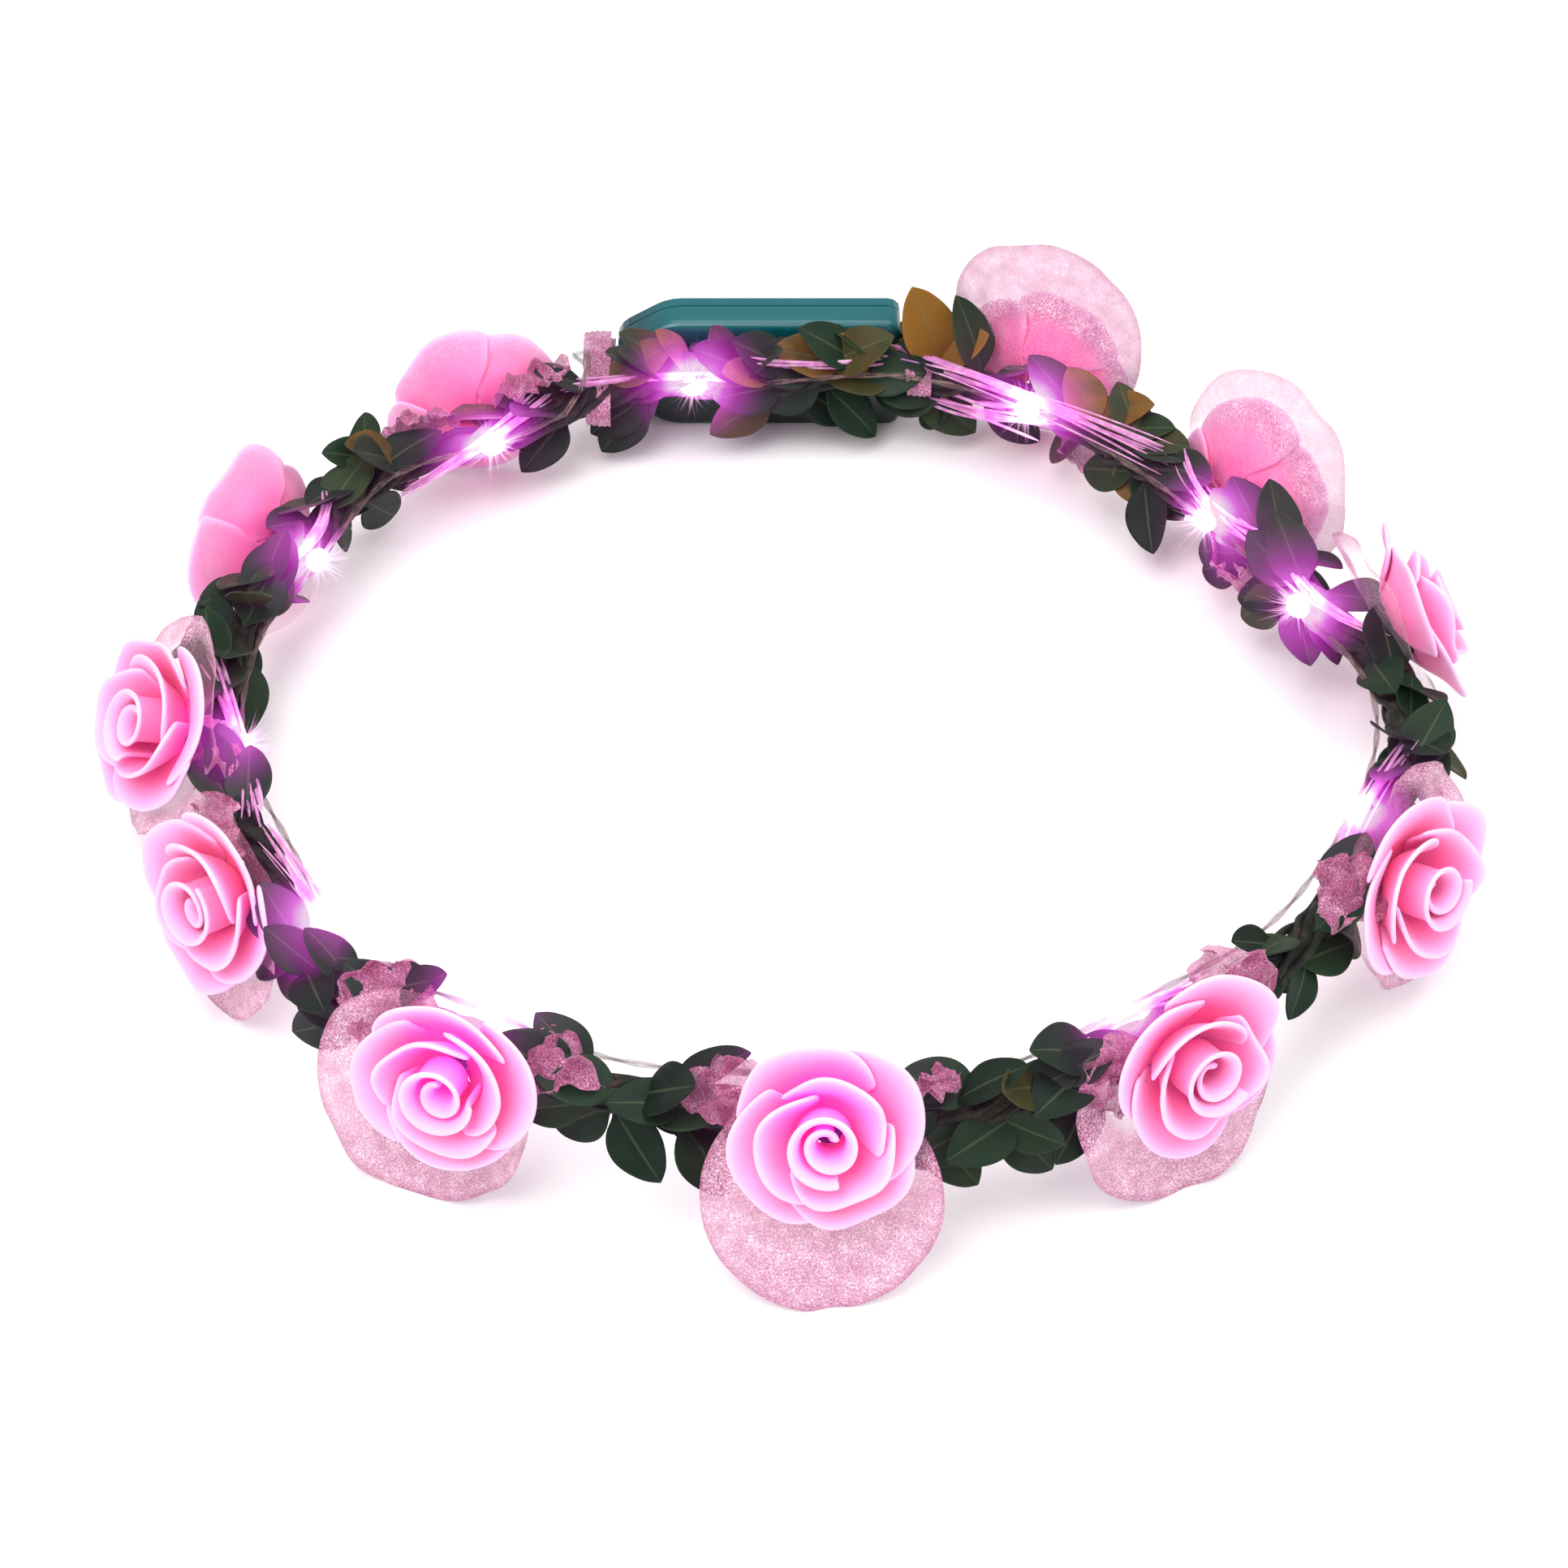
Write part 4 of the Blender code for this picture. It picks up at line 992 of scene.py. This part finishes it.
# bundles of drawn fibre pulled over the vine: three stops, each as angle, clock and distance
# from the vine's centre, then the number of strands and how far they spread
bundles = [
    ((80, 60, 4.5), (64, 120, 7.0), (46, 85, 4.5), 12, 3.0),
    ((77, -70, 4.5), (70, -150, 6.5), (60, 140, 5.5), 8, 3.0),
    ((44, 60, 5.0), (36, 140, 7.0), (27, 90, 4.5), 9, 2.6),
    ((118, 90, 4.5), (127, 150, 6.5), (136, -130, 4.5), 9, 2.2),
    ((145, 70, 4.5), (151, 150, 6.5), (161, 80, 4.5), 8, 2.0),
    ((96, 140, 6.0), (105, 110, 5.5), (115, 80, 4.5), 6, 1.6),
    ((79, 90, 4.5), (87, 140, 6.0), (95, 110, 6.0), 6, 1.4),
    ((176, 80, 4.5), (188, 140, 6.5), (200, 110, 4.5), 10, 2.6),
    ((204, 120, 5.0), (216, 150, 6.5), (228, 80, 4.5), 10, 2.6),
    ((8, 60, 4.5), (17, 140, 6.5), (26, 90, 4.5), 8, 2.2),
    ((331, 90, 4.5), (343, 150, 6.5), (352, 80, 4.5), 8, 2.4),
    ((294, 90, 4.5), (303, 150, 6.5), (311, 90, 5.0), 7, 2.2),
]


def buildBundle(number, start, middle, end, count, spread):
    bm = bmesh.new()
    sheer = bm.verts.layers.float.new("sheer")
    stops = [besideVine(*stop) for stop in (start, middle, end)]
    steps = 14
    for _ in range(count):
        off = [Vector([chance.gauss(0, 0.5) for _ in range(3)]) * spread * mm for _ in range(3)]
        bends = [stop + shift for stop, shift in zip(stops, off)]
        points = []
        for i in range(steps):
            t = i / (steps - 1)
            low = bends[0].lerp(bends[1], t)
            points.append(low.lerp(bends[1].lerp(bends[2], t), t))
        before = len(bm.verts)
        sweep(bm, threadStations(points, chance.uniform(0.15, 0.4)), 5)
        bm.verts.ensure_lookup_table()
        for vert in bm.verts[before:]:
            vert[sheer] = 0.55
    bmesh.ops.recalc_face_normals(bm, faces=bm.faces)
    finishPiece(f"drawn_strands_{number:02d}", bm, fibre)


for number, (start, middle, end, count, spread) in enumerate(bundles, 1):
    buildBundle(number, start, middle, end, count, spread)
print("fibre laid")

# crumpled offcuts of organza tucked beside the roses: angle, clock, distance, width and length
gathers = [
    (248, 70, 8, 22, 16),
    (231, 60, 8, 26, 20),
    (264, 70, 8, 24, 16),
    (282, 100, 7, 14, 10),
    (298, 20, 9, 24, 18),
    (312, 60, 9, 26, 18),
    (329, 60, 9, 24, 18),
    (200, 30, 9, 24, 16),
    (190, 90, 8, 22, 14),
    (132, 30, 8, 22, 14),
    (118, 60, 9, 24, 18),
    (57, -60, 8, 24, 16),
    (31, -90, 7, 24, 16),
]


def buildGather(number, angle, clock, away, width, length):
    bm = bmesh.new()
    sheer = bm.verts.layers.float.new("sheer")
    deep = bm.verts.layers.float.new("deep")
    _, forward, _, _ = vineFrame(angle)
    spot = besideVine(angle, clock, away)
    face = (spot - vinePoint(angle)).normalized()
    side = face.cross(forward).normalized()
    crumple = min(1.0, length / 16)  # a small piece has no cloth for deep folds
    grid = bmesh.ops.create_grid(bm, x_segments=44, y_segments=32, size=1.0)["verts"]
    for vert in grid:
        x = vert.co.x * math.sqrt(1 - vert.co.y**2 / 2)
        y = vert.co.y * math.sqrt(1 - vert.co.x**2 / 2)
        spread = Vector((x * 2.4, y * 2.4, number * 9.0))
        ruffle = Vector([noise.noise(spread + Vector((k * 11.0, 0, k * 5.0))) for k in range(3)])
        fine = noise.noise(spread * 2.6)
        pinch = 1 - 0.35 * abs(y)
        flat = forward * x * width * 0.4 * pinch + side * y * length * 0.4
        rise = crumple * (3.4 * ruffle.x + 1.4 * fine - 2.2 * (x * x + y * y))
        vert.co = spot + (flat + face * rise + forward * ruffle.y * 1.6 + side * ruffle.z * 1.6) * mm
        vert[sheer] = 1.0
        vert[deep] = 0.22 + 0.2 * ruffle.x
    piece = finishPiece(f"gathered_organza_{number:02d}", bm, organza)


for number, (angle, clock, away, width, length) in enumerate(gathers, 1):
    buildGather(number, angle, clock, away, width, length)
print("offcuts tucked in")

# the battery box's smooth shell, and the metal and plastic inside
shell = {
    "length": 56,
    "height": 25.5,
    "depth": 5.9,
    "wall": 1.2,
    "corner": 2.5,
    "neck": (10, 13),
    "rim": 1.6,
    "lug": (7, 1.6, 5),
}


def buildShell():
    low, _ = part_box("case_front")
    half, tall = shell["length"] / 2, shell["height"] / 2
    neckLength, neckHeight = shell["neck"]
    corners = [(half, -tall), (half, tall), (neckLength - half, tall), (-half, neckHeight / 2)]
    corners += [(-half, -neckHeight / 2), (neckLength - half, -tall)]
    bm = bmesh.new()
    verts = [bm.verts.new((x * mm, 0, z * mm)) for x, z in corners]
    bm.faces.new(verts)
    bmesh.ops.bevel(
        bm,
        geom=verts,
        offset=shell["corner"] * mm,
        affect="VERTICES",
        segments=6,
        profile=0.5,
        material=-1,
    )
    grown = bmesh.ops.extrude_face_region(bm, geom=list(bm.faces))
    moved = [item for item in grown["geom"] if isinstance(item, bmesh.types.BMVert)]
    bmesh.ops.translate(bm, verts=moved, vec=(0, shell["depth"] * mm, 0))
    rim = [edge for edge in bm.edges if all(abs(v.co.y) < 1e-6 for v in edge.verts)]
    bmesh.ops.bevel(
        bm,
        geom=rim,
        offset=shell["rim"] * mm,
        affect="EDGES",
        segments=5,
        profile=0.5,
        material=-1,
    )
    bmesh.ops.recalc_face_normals(bm, faces=bm.faces)
    back = [f for f in bm.faces if all(abs(v.co.y - shell["depth"] * mm) < 1e-6 for v in f.verts)]
    bmesh.ops.delete(bm, geom=back, context="FACES_ONLY")
    bmesh.ops.solidify(bm, geom=list(bm.faces), thickness=shell["wall"] * mm)
    middle = Vector((low[0] + half * mm, low[1], low[2] + tall * mm))
    bmesh.ops.translate(bm, verts=bm.verts, vec=middle)
    piece = finishPiece("box_front_shell", bm, teal, ["case_front"])
    piece.data.set_sharp_from_angle(angle=math.radians(35))
    _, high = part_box("case_front")
    lug = bmesh.new()
    bmesh.ops.create_cube(lug, size=1)
    bmesh.ops.scale(lug, vec=Vector(shell["lug"]) * mm, verts=lug.verts)
    bmesh.ops.bevel(
        lug,
        geom=lug.edges,
        offset=0.4 * mm,
        affect="EDGES",
        segments=3,
        profile=0.5,
        material=-1,
    )
    width, deep, _ = shell["lug"]
    level = vinePoint(90).z
    spot = Vector((high[0] - width / 2 * mm, high[1] - deep / 2 * mm, level))
    bmesh.ops.translate(lug, verts=lug.verts, vec=spot)
    finishPiece("box_lug", lug, teal)


buildShell()
finishes = {
    "case_back": teal,
    "battery_door": teal,
    "strain_relief": teal,
    "door_screw": nickel,
    "coin_cell_1": nickel,
    "coin_cell_2": nickel,
    "contact_bridge": brass,
    "circuit_board": laminate,
    "switch_slider": nylon,
}
for name, material in finishes.items():
    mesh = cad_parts[name].data
    mesh.materials.clear()
    mesh.materials.append(material)
print("box finished")

# sheer ribbon wound round the vine and the box's two ends
binding = {"turns": 3, "width": 3.4, "steps": 120}


def buildBinding(name):
    low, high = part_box(name)
    middle = (Vector(low) + Vector(high)) / 2
    thick = (high[1] - low[1]) / 2
    tall = (high[2] - low[2]) / 2
    bm = bmesh.new()
    sheer = bm.verts.layers.float.new("sheer")
    deep = bm.verts.layers.float.new("deep")
    steps = binding["steps"]
    grid = bmesh.ops.create_grid(bm, x_segments=steps, y_segments=6, size=1.0)["verts"]
    for vert in grid:
        turn = (vert.co.x + 1) * math.pi * binding["turns"]
        side = vert.co.y * binding["width"] / 2
        pucker = 0.35 * math.sin(vert.co.y * 7 + turn * 2)
        grow = 1 - 0.5 * mm / thick + pucker * mm * 0.5 / thick + vert.co.x * 0.02
        drift = vert.co.x * 1.6 + side * (0.8 + 0.2 * math.sin(turn))
        spot = Vector((drift * mm, math.cos(turn) * thick * grow, math.sin(turn) * tall * grow))
        vert.co = middle + spot
        vert[sheer] = 0.9
        vert[deep] = 0.1
    bmesh.ops.recalc_face_normals(bm, faces=bm.faces)
    finishPiece(f"sheer_{name}", bm, organza, [name], 0.15)


for name in ("ribbon_wrap_left", "ribbon_wrap_right"):
    buildBinding(name)
print("ribbons built")


def buildRoom():
    floorCode = {"colour": "#FCFAFB", "size": 4.0}
    bm = bmesh.new()
    bmesh.ops.create_grid(bm, x_segments=1, y_segments=1, size=floorCode["size"] / 2)
    bmesh.ops.translate(bm, verts=bm.verts, vec=(0, 0, -vine["drop"] * mm))
    mesh = bpy.data.meshes.new("floor")
    bm.to_mesh(mesh)
    bm.free()
    material, _ = startMaterial(
        "paleFloor", {"Base Color": paint(floorCode["colour"]), "Roughness": 0.9}
    )
    mesh.materials.append(material)
    floor = bpy.data.objects.new("floor", mesh)
    bpy.context.scene.collection.objects.link(floor)
    for name, place, size, power in (
        ("key", (-0.35, -0.5, 0.9), 0.7, 9.0),
        ("fill", (0.6, -0.2, 0.7), 0.8, 4.0),
        ("top", (0.0, 0.3, 1.2), 1.0, 7.0),
    ):
        light = bpy.data.lights.new(name, "AREA")
        light.size = size
        light.energy = power
        lamp = bpy.data.objects.new(name, light)
        lamp.location = place
        lamp.rotation_euler = (-Vector(place)).to_track_quat("-Z", "Y").to_euler()
        bpy.context.scene.collection.objects.link(lamp)
    world = bpy.data.worlds.new("studio")
    world.use_nodes = True
    world.node_tree.nodes["Background"].inputs["Color"].default_value = (1, 1, 1, 1)
    world.node_tree.nodes["Background"].inputs["Strength"].default_value = 0.55
    bpy.context.scene.world = world
    bpy.context.scene.view_settings.view_transform = "Standard"


buildRoom()
print("room lit")
